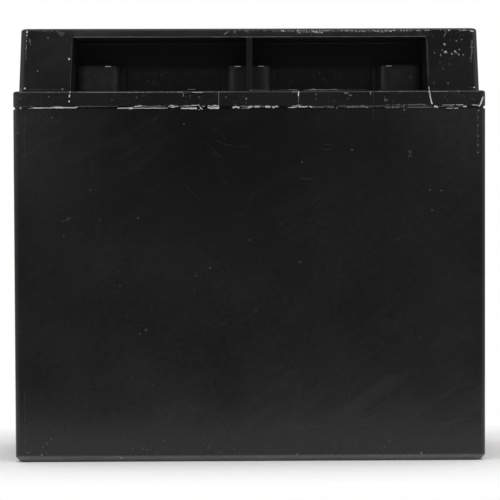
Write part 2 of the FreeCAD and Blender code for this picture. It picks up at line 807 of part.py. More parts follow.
def top_long_edges(level):
    """Test for edges along Y at a height."""
    flat = flat_at(level)
    return lambda edge: flat(edge) and edge.BoundBox.XLength < 1e-4


def make_sealing_resin(links):
    """Cured resin on the tongues and around each link."""
    body = new_body("resin_fill")
    bead = new_sketch(body, "resin_bead_plan", offset="tongue_top")
    add_centred_rectangle(bead, "case_length - 2 * skirt_wall", "case_width - 2 * skirt_wall",
                          "corner_radius - skirt_wall")
    for cell in range(1, CELLS + 1):
        add_centred_rectangle(bead, "collar_length", "collar_width", x=cell_x(cell))
    pad(body, bead, "resin_bead")
    blocks = new_sketch(body, "resin_blocks", offset="tongue_top")
    for link in range(1, CELLS):
        x = partition_x(link)
        low, high = ("-well_front", "-well_back") if link_side(link) < 0 else ("well_back", "well_front")
        add_rectangle(blocks, f"{x} - well_half", f"{x} + well_half", low, high)
    pad(body, blocks, "well_roof - tongue_top")
    bridges = doc.addObject("Part::Compound", "bridges")
    bridges.Links = links
    cut = doc.addObject("Part::Cut", "sealing_resin")
    cut.Base = body
    cut.Tool = bridges
    return cut


def make_pole(word, sign):
    """Lead pole with a flange under its gasket and a spigot for the terminal."""
    body = new_body(f"{word}_pole", x=f"{sign}pole_x", y="pole_y")
    section = new_sketch(body, f"{word}_pole_section", plane="XZ_Plane")
    shaft = "pole_diameter / 2"
    flange = f"({shaft} + gasket_wall - gasket_clearance)"
    flange_top = "(boss_level + gasket_clearance)"
    spigot, spigot_top = "spigot_diameter / 2", "foot_level + terminal_wall"
    add_polygon(section, [("0", "strap_top"), (shaft, "strap_top"),
                          (shaft, f"{flange_top} - pole_flange_height"),
                          (flange, f"{flange_top} - pole_flange_height"), (flange, flange_top),
                          (shaft, flange_top), (shaft, "foot_level"), (spigot, "foot_level"),
                          (spigot, spigot_top), ("0", spigot_top)])
    revolve(body, section)
    return body


def make_gasket(word, sign):
    """Rubber ring squeezed between the pole flange and the boss."""
    body = new_body(f"{word}_pole_gasket", x=f"{sign}pole_x", y="pole_y")
    plan = new_sketch(body, f"{word}_gasket_plan", offset="boss_level + gasket_clearance")
    add_circle(plan, "pole_diameter")
    add_circle(plan, "pole_diameter + 2 * gasket_wall")
    pad(body, plan, "gasket_height")
    return body


def make_pole_seal(word, sign):
    """Coloured resin poured round the pole in its cup."""
    body = new_body(f"{word}_pole_seal", x=f"{sign}pole_x", y="pole_y")
    plan = new_sketch(body, f"{word}_seal_plan", offset="recess_level")
    add_circle(plan, "pole_diameter")
    add_circle(plan, "cup_diameter")
    pad(body, plan, "cup_height - seal_sink")
    return body


def make_terminal(word, sign):
    """Angled tab on the pole with a hole for the bolt."""
    body = new_body(f"{word}_terminal", x=f"{sign}pole_x", y="pole_y")
    section = new_sketch(body, f"{word}_tab_section", plane="YZ_Plane")
    back, front = "-terminal_foot / 2", "terminal_foot / 2"
    add_polygon(section, [(back, "foot_level"), (front, "foot_level"),
                          (front, "foot_level + terminal_wall"),
                          (f"{back} + terminal_wall", "foot_level + terminal_wall"),
                          (f"{back} + terminal_wall", "terminal_top"), (back, "terminal_top")])
    angle = pad(body, section, "terminal_width", middle=True)
    top = number("terminal_top")
    corner = round_edges(body, angle, lambda edge: abs(edge.BoundBox.ZMin - top) < 1e-4
                         and edge.BoundBox.XLength < 1e-4, "terminal_corner")
    spigot = new_sketch(body, f"{word}_spigot_hole", offset="foot_level + terminal_wall")
    add_circle(spigot, "spigot_diameter")
    pocket(body, spigot, "terminal_wall")
    hole = new_sketch(body, f"{word}_bolt_hole", plane="XZ_Plane", offset="terminal_foot / 2")
    add_circle(hole, "bolt_diameter + 2 * bolt_hole_clearance", y="bolt_level")
    pocket(body, hole, "terminal_wall")
    return body


def along_bolts(label, start):
    """Body whose upright axis points to the rear along the bolt of the left terminal."""
    body = new_body(label, x="-pole_x", y=start, z="bolt_level")
    body.Placement = FreeCAD.Placement(body.Placement.Base,
                                       FreeCAD.Rotation(FreeCAD.Vector(1, 0, 0), -90))
    return body


def both_terminals(body, features):
    """Copy the features to the right terminal."""
    row = repeat_along(body, features[0], "X_Axis", 2, "2 * pole_x")
    row.Originals = features
    return row


def make_bolts():
    body = along_bolts("terminal_bolts", "tab_back")
    head = new_sketch(body, "bolt_head")
    add_hexagon(head, "hex_width")
    head_pad = pad(body, head, "head_height", down=True)
    shank = new_sketch(body, "bolt_shank", plane="XZ_Plane")
    radius = "bolt_diameter / 2"
    add_polygon(shank, [("0", "0"), (radius, "0"), (radius, "bolt_length - bolt_point"),
                        (f"{radius} - bolt_point", "bolt_length"), ("0", "bolt_length")])
    both_terminals(body, [head_pad, revolve(body, shank)])
    return body


def make_ring_pieces(label, start, outer, bore, wall):
    """Plain ring on each bolt."""
    body = along_bolts(label, start)
    plan = new_sketch(body, f"{label}_plan")
    add_circle(plan, outer)
    add_circle(plan, bore)
    both_terminals(body, [pad(body, plan, wall)])
    return body


def make_nuts():
    body = along_bolts("terminal_nuts", "tab_face + washer_wall + spring_wall")
    plan = new_sketch(body, "nut_plan")
    add_hexagon(plan, "hex_width")
    add_circle(plan, "bolt_diameter")
    both_terminals(body, [pad(body, plan, "nut_height")])
    return body


def make_spring_washers():
    body = along_bolts("spring_washers", "tab_face + washer_wall")
    plan = new_sketch(body, "spring_plan")
    add_circle(plan, "spring_diameter")
    add_circle(plan, "washer_bore")
    ring = pad(body, plan, "spring_wall")
    slit = new_sketch(body, "spring_slit")
    add_rectangle(slit, "-spring_split / 2", "spring_split / 2", "-spring_diameter", "0")
    cut = pocket(body, slit, "spring_wall", up=True)
    both_terminals(body, [ring, cut])
    return body


def make_battery():
    pieces = [make_case(), make_lid(), make_vent_cover()]
    links = [make_link(link) for link in range(1, CELLS)]
    pieces += links + [make_sealing_resin(links)]
    for cell in range(1, CELLS + 1):
        pieces += [make_valve(cell), make_separators(cell)]
        for positive in (True, False):
            pieces += [make_plates(cell, positive), make_strap(cell, positive)]
    for word, sign in (("negative", "-"), ("positive", "")):
        pieces += [make_pole(word, sign), make_gasket(word, sign), make_pole_seal(word, sign),
                   make_terminal(word, sign)]
    pieces += [make_bolts(), make_nuts(), make_spring_washers(),
               make_ring_pieces("flat_washers", "tab_face", "washer_diameter", "washer_bore",
                                "washer_wall")]
    return pieces


def check(pieces):
    """Stop before writing if any object failed or any piece is empty or broken."""
    for item in doc.Objects:
        if "Invalid" in item.State or "Error" in item.State:
            raise RuntimeError(f"{item.Label} failed: {item.State}")
    for piece in pieces:
        if piece.Shape.isNull() or not piece.Shape.isValid():
            raise RuntimeError(f"{piece.Label} has no valid shape")


doc = FreeCAD.newDocument("battery")
make_sheet()
battery = make_battery()
doc.recompute()
check(battery)
os.makedirs("parts", exist_ok=True)
for piece in battery:
    piece.Shape.exportStep(os.path.join("parts", piece.Label + ".step"))
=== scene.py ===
"""Dresses the packed block battery: worn mouldings with painted light and shade, metals, resins,
bolt threads and scuffs.
"""

import json
import math
import random

import bmesh
import bpy
from bpy.props import FloatProperty, FloatVectorProperty, IntProperty, PointerProperty
from mathutils import Matrix, Vector, noise
from mathutils.bvhtree import BVHTree


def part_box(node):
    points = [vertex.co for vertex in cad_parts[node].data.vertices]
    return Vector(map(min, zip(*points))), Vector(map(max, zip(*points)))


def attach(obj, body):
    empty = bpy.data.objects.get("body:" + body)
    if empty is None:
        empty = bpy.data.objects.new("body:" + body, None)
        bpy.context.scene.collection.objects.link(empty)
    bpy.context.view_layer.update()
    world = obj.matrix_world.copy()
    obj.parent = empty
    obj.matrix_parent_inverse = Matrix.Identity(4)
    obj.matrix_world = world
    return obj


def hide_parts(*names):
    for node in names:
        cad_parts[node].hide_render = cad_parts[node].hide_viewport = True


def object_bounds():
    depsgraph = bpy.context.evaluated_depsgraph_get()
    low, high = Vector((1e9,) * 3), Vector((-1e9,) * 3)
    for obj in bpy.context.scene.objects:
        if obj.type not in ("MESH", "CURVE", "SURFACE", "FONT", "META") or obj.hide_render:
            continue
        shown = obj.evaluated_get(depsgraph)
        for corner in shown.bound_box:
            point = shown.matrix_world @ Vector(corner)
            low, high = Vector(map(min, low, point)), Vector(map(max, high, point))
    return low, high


bl_info = {
    "name": "Block Battery Looks",
    "version": (1, 0, 0),
    "blender": (4, 5, 0),
    "location": "3D View > Sidebar > Battery",
    "description": "Finishes, worn marks and studio for a sealed block battery",
    "category": "Object",
}

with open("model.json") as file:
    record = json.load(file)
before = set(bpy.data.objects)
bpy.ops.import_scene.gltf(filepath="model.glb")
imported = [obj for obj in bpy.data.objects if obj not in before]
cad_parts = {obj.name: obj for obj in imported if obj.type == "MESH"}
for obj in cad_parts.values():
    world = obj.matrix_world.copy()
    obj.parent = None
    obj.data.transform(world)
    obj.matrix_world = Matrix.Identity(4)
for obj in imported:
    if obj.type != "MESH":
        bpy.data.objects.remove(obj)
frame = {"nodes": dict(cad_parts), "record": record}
CAD_LOW, CAD_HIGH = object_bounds()
NODES = frame["nodes"]
MM = 0.001

# The photograph is square, and the marks below are placed by its pixels.
PHOTO_SIDE = 500

# Pieces that the worn marks and painted highlights lie on.
MOULDINGS = ("case", "lid")

# The paler colour of the foot bevel, partly rub and partly a painted reflection of the floor,
# starts at the first height and is full at the second.
FOOT_BEVEL = 2 * MM
FOOT_Z = (FOOT_BEVEL * 1.35, FOOT_BEVEL * 0.9)

# The middle of the seam's groove under the roof, its reach up and down, its depth, and how far
# behind the wall the bruised plastic that fills it lies.
SEAM_BELOW_ROOF = 30.5 * MM
GROOVE_REACH = 1.5 * MM
GROOVE_DEPTH = 1.2 * MM
GROOVE_FILL = 0.1 * MM

# Dust starts at the first of two places and is full at the second. X and Y are distances from the
# battery's middle planes, and Z is a height. In the pockets and on the bar over them it is partly
# dust and partly painted light, lighter low in the pockets and towards the top of the bar.
END_DUST_X, END_DUST_Z = (50 * MM, 86 * MM), (90 * MM, 130 * MM)
POCKET_DUST_AND_LIGHT_Y = (34 * MM, 29 * MM)
POCKET_DUST_AND_LIGHT_Z = (CAD_HIGH.z - 12.6 * MM, CAD_HIGH.z - 15 * MM)
BAR_DUST_AND_LIGHT_X = (71 * MM, 66 * MM)
BAR_DUST_AND_LIGHT_Z = (CAD_HIGH.z - 4.4 * MM, CAD_HIGH.z - 1.6 * MM)

# Between these, the dust and painted light go from their amount on the pockets' back walls to that
# on the wells.
WELL_DUST_AND_LIGHT_Y = (16.8 * MM, 26.4 * MM)

# The ends' dust goes from this share on the block to the whole on the rim.
BLOCK_DUST_SHARE = 0.4
RIM_DUST_Z = (CAD_HIGH.z - 22.5 * MM, CAD_HIGH.z - 23.5 * MM)

# The darker patch of the case, high in the middle of its walls, round which the case is made
# lighter:
# partly dust and partly a painted reflection of the floor. Its middle, how much each axis counts in
# the distance from it, and the distances at which the lighter tone starts and is full.
DARKER_PATCH_MIDDLE = (-12 * MM, 0, 136 * MM)
DARKER_PATCH_WEIGHTS = (0.8, 0, 1.1)
DARKER_PATCH_REACH = (16 * MM, 70 * MM)

# Painted shade: walls deep in a pocket, under the bar, lose their smudges and scratches and take
# the deep shade colour, so they read darker. They start to count as deep at the first of two
# places and are deep at the second.
DEEP_WALL_Y = (26.2 * MM, 17.2 * MM)
DEEP_WALL_Z = (CAD_HIGH.z - 2.6 * MM, CAD_HIGH.z - 3.6 * MM)

# Leans from upright, in radians, of wipes, rubs and scratches, and the scales along each axis that
# draw noise out to streaks.
WIPE_LEAN, RUB_LEAN, SCRATCH_LEANS = -1.02, 0.05, (-0.95, 0.7, 1.45)
WIPE_SQUEEZE, RUB_SQUEEZE, SCRATCH_SQUEEZE = (1, 1, 0.16), (1, 1, 0.12), (26, 26, 1)

# A wall is one of the ends when its normal points along X by more than this.
END_FACING = 0.6

# The part of the mottle's range that the finishes use, how much duller a smudge is, and how deep a
# scratch is in grains.
MOTTLE_RANGE = (0.3, 0.7)
SMUDGE_DULLING = 0.08
SCRATCH_DEPTH = 1.5

# Steps round a bolt and along a turn of its thread.
BOLT_SEGMENTS, THREAD_STEPS = 36, 8

# The head's chamfer, as heights and as radii that are shares of its width across flats.
CROWN_LEVEL, CHAMFER_LEVEL = 0.4 * MM, 0.6 * MM
CROWN_SHARE, CHAMFER_SHARE = 0.47, 0.535

# The thread's ridge is scaled up and lowered, so that its crest and its root are flat.
RIDGE_SCALE, RIDGE_DROP = 1.25, 0.12

# The bolt's point narrows over this length.
POINT_LENGTH = 0.6 * MM

# The polarity marks: how far in from the terminals, how far forward of the middle between the
# terminals' front and the rear wall, the slope of their top edge and where it starts, and how deep
# they sink. The plus's second bar is a little higher, so that its top isn't level with the first.
MARK_INWARD, MARK_FORWARD = 11 * MM, 1.5 * MM
MARK_BEVEL, MARK_SHOULDER, MARK_SINK = 0.12 * MM, 0.6, 0.05 * MM
SECOND_BAR = 1.02

# A flake is left out where a corner lies further than this from its middle. Its rim stands up by a
# share of its lift, and its underside sinks by a number of lifts.
FLAKE_REACH = 3 * MM
FLAKE_RIM, FLAKE_ROOT = 0.3, 2

# Pixels from one piece of a scuff to the next, corners of a fleck, and how dark the darker tone of
# bruised plastic is.
SCUFF_STEP = 0.7
FLECK_CORNERS = 7
BRUISE_SHADE = 0.55

# What the kinds of property share.
COLOUR = {"subtype": "COLOR", "size": 3, "min": 0, "max": 1}
SHARE = {"subtype": "FACTOR", "min": 0, "max": 1}
LENGTH = {"subtype": "DISTANCE", "unit": "LENGTH", "precision": 6}
TURN = {"subtype": "ANGLE", "unit": "ROTATION"}


class BatteryPlastic(bpy.types.PropertyGroup):
    """Finish of the black mouldings."""

    case_colour: FloatVectorProperty(
        name="Case Colour", description="Colour of the case moulding",
        default=(0.0052, 0.0052, 0.0054), **COLOUR)
    lid_colour: FloatVectorProperty(
        name="Lid Colour", description="Colour of the lid moulding",
        default=(0.006, 0.006, 0.0062), **COLOUR)
    # Painted shade: the colour of the walls deep in the pockets, where smudges and scratches are
    # left out.
    deep_shade_colour: FloatVectorProperty(
        name="Deep Colour", description="Colour of the untouched walls deep in the pockets",
        default=(0.0065, 0.0065, 0.0067), **COLOUR)
    # Also paints light: the dust masks of the lid and the case carry painted light and a painted
    # floor reflection.
    dust_and_light_colour: FloatVectorProperty(
        name="Dust Colour", description="Colour of smudges and settled dust",
        default=(0.034, 0.034, 0.033), **COLOUR)
    scratch_colour: FloatVectorProperty(
        name="Scratch Colour", description="Colour of the plastic in fine scratches",
        default=(0.085, 0.085, 0.084), **COLOUR)
    # Partly rub and partly a painted reflection of the floor on the foot bevel.
    foot_rub_and_reflection_colour: FloatVectorProperty(
        name="Foot Colour", description="Colour of the rubbed bevel round the foot",
        default=(0.112, 0.112, 0.112), **COLOUR)
    grain_scale: FloatProperty(
        name="Grain Scale", description="Moulded grains per metre", min=100, default=2600)
    grain_height: FloatProperty(
        name="Grain Height", description="Height of the moulded grain",
        min=0, default=0.006 * MM, **LENGTH)
    smudge_amount: FloatProperty(
        name="Smudge Amount", description="How strongly smudges show", default=0.17, **SHARE)
    scratch_amount: FloatProperty(
        name="Scratch Amount", description="How strongly fine scratches show",
        default=0.105, **SHARE)
    end_dust: FloatProperty(
        name="End Dust", description="How dusty the upper ends of the walls are",
        default=0.26, **SHARE)
    # Partly dust and partly a painted reflection of the floor, away from a darker patch high in the
    # middle.
    case_dust_and_reflection: FloatProperty(
        name="Case Dust", description="How dusty the walls of the case are",
        default=0.24, **SHARE)
    # Partly dust and partly painted light, making the bar over the pockets lighter towards its top.
    bar_dust_and_light: FloatProperty(
        name="Bar Dust", description="How dusty the bar over the pockets is",
        default=0.42, **SHARE)
    # Partly dust and partly painted light, low on the pockets' back walls.
    wall_dust_and_light: FloatProperty(
        name="Wall Dust", description="How dusty the pockets' back walls are low down",
        default=0.36, **SHARE)
    # Partly dust and partly painted light on the fronts of the wells.
    well_dust_and_light: FloatProperty(
        name="Well Dust", description="How dusty the fronts of the wells are",
        default=0.42, **SHARE)


class BatteryHardware(bpy.types.PropertyGroup):
    """Sizes of the bolts and the moulded polarity marks."""

    thread_pitch: FloatProperty(
        name="Thread Pitch", description="Advance of the bolt thread in one turn",
        min=0.1 * MM, default=0.8 * MM, **LENGTH)
    thread_depth: FloatProperty(
        name="Thread Depth", description="Depth of the bolt thread",
        min=0, default=0.46 * MM, **LENGTH)
    bolt_radius: FloatProperty(
        name="Bolt Radius", description="Outer radius of the bolt thread",
        min=0.5 * MM, default=2.5 * MM, **LENGTH)
    head_height: FloatProperty(
        name="Head Height", description="Height of the hexagon head",
        min=0.5 * MM, default=3.5 * MM, **LENGTH)
    head_flats: FloatProperty(
        name="Head Across Flats", description="Width of the hexagon head across its flats",
        min=1 * MM, default=8 * MM, **LENGTH)
    mark_length: FloatProperty(
        name="Mark Length", description="Length of a bar of the polarity marks",
        min=1 * MM, default=7 * MM, **LENGTH)
    mark_width: FloatProperty(
        name="Mark Width", description="Width of a bar of the polarity marks",
        min=0.2 * MM, default=1.6 * MM, **LENGTH)
    mark_height: FloatProperty(
        name="Mark Height", description="How far the polarity marks stand up",
        min=0.05 * MM, default=0.3 * MM, **LENGTH)


class BatteryWear(bpy.types.PropertyGroup):
    """Scuffs, chips and flecks on the photographed side, and painted highlights and glints on its
    edges.
    """

    # Also the colour of the painted glints on the tops of the wells.
    pale_colour: FloatVectorProperty(
        name="Pale Scuff Colour", description="Colour of bruised plastic and white flecks",
        default=(0.6, 0.6, 0.58), **COLOUR)
    # Also the colour of painted highlights on the window's top edge and the blocks' front edges.
    grey_colour: FloatVectorProperty(
        name="Grey Scuff Colour", description="Colour of lightly rubbed plastic",
        default=(0.17, 0.17, 0.167), **COLOUR)
    # Its polished edges are painted highlights, and it also paints a reflection inside the pockets.
    faint_colour: FloatVectorProperty(
        name="Faint Scuff Colour", description="Colour of hairlines and polished edges",
        default=(0.045, 0.045, 0.045), **COLOUR)
    lift: FloatProperty(
        name="Scuff Lift", description="How far bruised plastic stands off the surface",
        min=0.001 * MM, default=0.03 * MM, **LENGTH)
    seed: IntProperty(
        name="Seed", description="Picks the ragged outlines of the scuffs", min=0, default=11)


class BatteryStudio(bpy.types.PropertyGroup):
    """Floor, lamps and camera."""

    floor_colour: FloatVectorProperty(
        name="Floor Colour", description="Colour of the studio floor",
        default=(0.9, 0.9, 0.9), **COLOUR)
    floor_half: FloatProperty(
        name="Floor Half Width", description="Half the width of the studio table",
        min=0.2, default=0.32, **LENGTH)
    floor_front: FloatProperty(
        name="Floor Front", description="From the middle of the battery to the table's front edge",
        min=0.14, default=0.165, **LENGTH)
    lamp_power: FloatProperty(
        name="Lamp Power", description="Power of the large overhead lamp",
        subtype="POWER", unit="POWER", min=0, default=6.5)
    sky_level: FloatProperty(
        name="Sky Level", description="Level of the even light from all round",
        min=0, default=0.72)
    dim_level: FloatProperty(
        name="Dim Level", description="Level of the room behind the camera, in reflections",
        min=0, default=0.04)
    side_level: FloatProperty(
        name="Side Level", description="Level of the studio walls, in reflections",
        min=0, default=0.42)
    camera_distance: FloatProperty(
        name="Camera Distance", description="From the camera to the photographed face",
        min=0.1, default=0.7, **LENGTH)
    view_half_width: FloatProperty(
        name="View Half Width", description="Half the width in view at the photographed face",
        min=0.01, default=0.09556, **LENGTH)
    target_x: FloatProperty(
        name="Target X", description="Where the camera points along the case",
        default=-0.00008, **LENGTH)
    target_z: FloatProperty(
        name="Target Z", description="Height that the camera points at",
        default=0.08088, **LENGTH)
    camera_yaw: FloatProperty(
        name="Camera Yaw", description="Turn of the camera round the case",
        default=math.radians(-0.77), **TURN)
    camera_roll: FloatProperty(
        name="Camera Roll", description="Tilt of the camera about its own view",
        default=math.radians(-0.215), **TURN)


PROPERTY_GROUPS = {
    "battery_plastic": BatteryPlastic,
    "battery_hardware": BatteryHardware,
    "battery_wear": BatteryWear,
    "battery_studio": BatteryStudio,
}


def new_node(tree, kind, inputs=None, **settings):
    """A node of that kind, with its settings and with each input set or linked."""
    made = tree.nodes.new(kind)
    for name, value in settings.items():
        setattr(made, name, value)
    for key, value in (inputs or {}).items():
        if isinstance(value, bpy.types.NodeSocket):
            tree.links.new(value, made.inputs[key])
        else:
            made.inputs[key].default_value = value
    return made


def noise_value(tree, vector, scale, detail=2.0, roughness=0.5):
    """Noise from 0 to 1, with its scale in features per metre."""
    made = new_node(tree, "ShaderNodeTexNoise", {
        "Vector": vector, "Scale": scale, "Detail": detail, "Roughness": roughness})
    return made.outputs["Fac"]


def remap(tree, value, low, high, to_low=0.0, to_high=1.0):
    """The value brought from one range to another and held inside it."""
    made = new_node(tree, "ShaderNodeMapRange", {
        "Value": value, "From Min": low, "From Max": high, "To Min": to_low, "To Max": to_high})
    return made.outputs["Result"]


def maths(tree, operation, first, second=0.0, clamp=False):
    """The result of a Math node."""
    made = new_node(tree, "ShaderNodeMath", {0: first, 1: second}, operation=operation,
                    use_clamp=clamp)
    return made.outputs[0]


def vector_maths(tree, operation, first, second=(0, 0, 0)):
    """The outputs of a Vector Math node."""
    made = new_node(tree, "ShaderNodeVectorMath", {0: first, 1: second}, operation=operation)
    return made.outputs


def product(tree, *masks):
    """Masks multiplied together."""
    made = masks[0]
    for mask in masks[1:]:
        made = maths(tree, "MULTIPLY", made, mask)
    return made


def split_vector(tree, vector):
    """A vector's parts, as X, Y and Z."""
    return new_node(tree, "ShaderNodeSeparateXYZ", {0: vector}).outputs


def mix_colour(tree, factor, first, second):
    """Two colours mixed by a factor."""
    made = new_node(tree, "ShaderNodeMix", {"Factor": factor}, data_type="RGBA")
    for socket, value in ((made.inputs[6], first), (made.inputs[7], second)):
        if isinstance(value, bpy.types.NodeSocket):
            tree.links.new(value, socket)
        else:
            socket.default_value = (*value[:3], 1)
    return made.outputs[2]


def mix_value(tree, factor, first, second):
    """Two values mixed by a factor."""
    made = new_node(tree, "ShaderNodeMix", {"Factor": factor, "A": first, "B": second},
                    data_type="FLOAT")
    return made.outputs["Result"]


def new_group(name, inputs, outputs):
    """An empty shader node group with float inputs and float outputs."""
    group = bpy.data.node_groups.new(name, "ShaderNodeTree")
    for label, default in inputs.items():
        socket = group.interface.new_socket(
            name=label, in_out="INPUT", socket_type="NodeSocketFloat")
        socket.default_value = default
    for label in outputs:
        group.interface.new_socket(name=label, in_out="OUTPUT", socket_type="NodeSocketFloat")
    return group, group.nodes.new("NodeGroupInput"), group.nodes.new("NodeGroupOutput")


def place_group(tree, name, **values):
    """A shared node group placed in a material, with its own values."""
    made = tree.nodes.new("ShaderNodeGroup")
    made.node_tree = bpy.data.node_groups[name]
    for label, value in values.items():
        made.inputs[label.replace("_", " ")].default_value = value
    return made


def object_position(tree):
    """The place on the battery, in metres."""
    return tree.nodes.new("ShaderNodeTexCoord").outputs["Object"]


def stretch(tree, vector, turn, squeeze):
    """The vector turned and then scaled, so that noise on it runs in streaks."""
    turned = new_node(tree, "ShaderNodeVectorRotate", {"Vector": vector, "Rotation": turn},
                      rotation_type="EULER_XYZ")
    return vector_maths(tree, "MULTIPLY", turned.outputs[0], squeeze)["Vector"]


def wall_streaks(tree, place, lean, squeeze, scale, detail, roughness):
    """Streaky noise that leans by an angle from upright, on the broad and on the narrow walls."""
    normal = split_vector(tree, tree.nodes.new("ShaderNodeNewGeometry").outputs["Normal"])
    broad, narrow = [
        noise_value(tree, stretch(tree, place, turn, squeeze), scale, detail, roughness)
        for turn in ((0, lean, 0), (lean, 0, 0))]
    end = maths(tree, "GREATER_THAN", maths(tree, "ABSOLUTE", normal["X"]), END_FACING)
    return mix_value(tree, end, broad, narrow)


def make_grain_group():
    """Fine moulded grain, a wide mottle that changes the gloss, and small clouds of dust."""
    group, given, out = new_group(
        "moulded_grain", {"Grain Scale": 2600, "Mottle Scale": 24, "Cloud Scale": 420},
        ("Grain", "Mottle", "Cloud"))
    place = object_position(group)
    for word, *settings in (("Grain", 3.0, 0.6), ("Mottle", 2.0, 0.5), ("Cloud", 4.0, 0.62)):
        made = noise_value(group, place, given.outputs[f"{word} Scale"], *settings)
        group.links.new(made, out.inputs[word])


def make_handling_group():
    """Smudges, slanted wipes and hairline scratches from handling."""
    group, given, out = new_group("handling_marks", {"Smudge Scale": 16, "Scratch Scale": 70},
                                  ("Smudge", "Scratch"))
    place = object_position(group)
    wide = noise_value(group, place, given.outputs["Smudge Scale"], 4.0, 0.6)
    wipes = wall_streaks(group, place, WIPE_LEAN, WIPE_SQUEEZE, 240.0, 3.0, 0.6)
    rubs = wall_streaks(group, place, RUB_LEAN, RUB_SQUEEZE, 170.0, 3.0, 0.6)
    rubbed = maths(group, "MAXIMUM", remap(group, wipes, 0.4, 0.72), remap(group, rubs, 0.46, 0.8))
    smudge = product(group, remap(group, wide, 0.36, 0.7), rubbed)
    group.links.new(smudge, out.inputs["Smudge"])
    scratch = 0.0
    for lean in SCRATCH_LEANS:
        streaks = wall_streaks(group, place, lean, SCRATCH_SQUEEZE,
                               given.outputs["Scratch Scale"], 1.0, 0.4)
        scratch = maths(group, "MAXIMUM", remap(group, streaks, 0.69, 0.76), scratch)
    worn = noise_value(group, place, 34.0)
    group.links.new(product(group, scratch, remap(group, worn, 0.45, 0.62)), out.inputs["Scratch"])


def make_tarnish_group():
    """Cloudy tarnish and a brushed streak for the metals."""
    group, given, out = new_group("metal_tarnish", {"Cloud Scale": 260, "Streak Scale": 900},
                                  ("Cloud", "Streak"))
    place = object_position(group)
    cloud = noise_value(group, place, given.outputs["Cloud Scale"], 4.0, 0.65)
    streak = noise_value(group, stretch(group, place, (0, 0, 0.3), (1, 1, 0.08)),
                         given.outputs["Streak Scale"])
    group.links.new(cloud, out.inputs["Cloud"])
    group.links.new(streak, out.inputs["Streak"])


GROUP_MAKERS = {
    "moulded_grain": make_grain_group,
    "handling_marks": make_handling_group,
    "metal_tarnish": make_tarnish_group,
}


def new_material(name, **shader_values):
    """A material with a Principled shader whose fixed values are set on its own sockets."""
    for group, maker in GROUP_MAKERS.items():
        if group not in bpy.data.node_groups:
            maker()
    made = bpy.data.materials.new(name)
    made.use_nodes = True
    shader = made.node_tree.nodes["Principled BSDF"]
    for label, value in shader_values.items():
        shader.inputs[label.replace("_", " ")].default_value = value
    return made, made.node_tree, shader


def bump(tree, shader, height, distance):
    """Gives the shader relief."""
    made = new_node(tree, "ShaderNodeBump", {"Height": height, "Distance": distance})
    tree.links.new(made.outputs["Normal"], shader.inputs["Normal"])


def wall_place(tree):
    """Distances from the battery's middle planes and its height, as X, Y and Z."""
    return split_vector(tree, vector_maths(tree, "ABSOLUTE", object_position(tree))["Vector"])


def end_dust(tree, plastic):
    """Handling dust on the ends of the battery, from the hands that lift it."""
    place = wall_place(tree)
    return product(tree, remap(tree, place["X"], *END_DUST_X), remap(tree, place["Z"], *END_DUST_Z),
                   plastic.end_dust)


def case_dust_and_reflection(tree, plastic):
    """Partly dust, partly a painted floor reflection: the case lighter but for a patch high in its
    middle.
    """
    away = vector_maths(tree, "SUBTRACT", object_position(tree), DARKER_PATCH_MIDDLE)["Vector"]
    flat = vector_maths(tree, "MULTIPLY", away, DARKER_PATCH_WEIGHTS)["Vector"]
    far = vector_maths(tree, "LENGTH", flat)["Value"]
    even = remap(tree, far, *DARKER_PATCH_REACH, 0.0, plastic.case_dust_and_reflection)
    return maths(tree, "ADD", even, end_dust(tree, plastic), clamp=True)


def lid_dust_and_light(tree, plastic):
    """Partly dust and partly painted light low in the pockets and on the bar, with the dust on the
    ends.
    """
    place = wall_place(tree)
    pocket = product(tree, remap(tree, place["Z"], *POCKET_DUST_AND_LIGHT_Z),
                     remap(tree, place["Y"], *POCKET_DUST_AND_LIGHT_Y),
                     remap(tree, place["Y"], *WELL_DUST_AND_LIGHT_Y, plastic.wall_dust_and_light, plastic.well_dust_and_light))
    bar = product(tree, remap(tree, place["Z"], *BAR_DUST_AND_LIGHT_Z), remap(tree, place["X"], *BAR_DUST_AND_LIGHT_X),
                  plastic.bar_dust_and_light)
    ends = product(tree, remap(tree, place["Z"], *RIM_DUST_Z, BLOCK_DUST_SHARE, 1.0),
                   end_dust(tree, plastic))
    return maths(tree, "ADD", maths(tree, "ADD", pocket, bar), ends, clamp=True)


def pocket_shade(tree):
    """Painted shade: one on the walls deep in the pockets, and nothing on the outer walls and the
    roof.
    """
    place = wall_place(tree)
    return product(tree, remap(tree, place["Y"], *DEEP_WALL_Y),
                   remap(tree, place["Z"], *DEEP_WALL_Z))


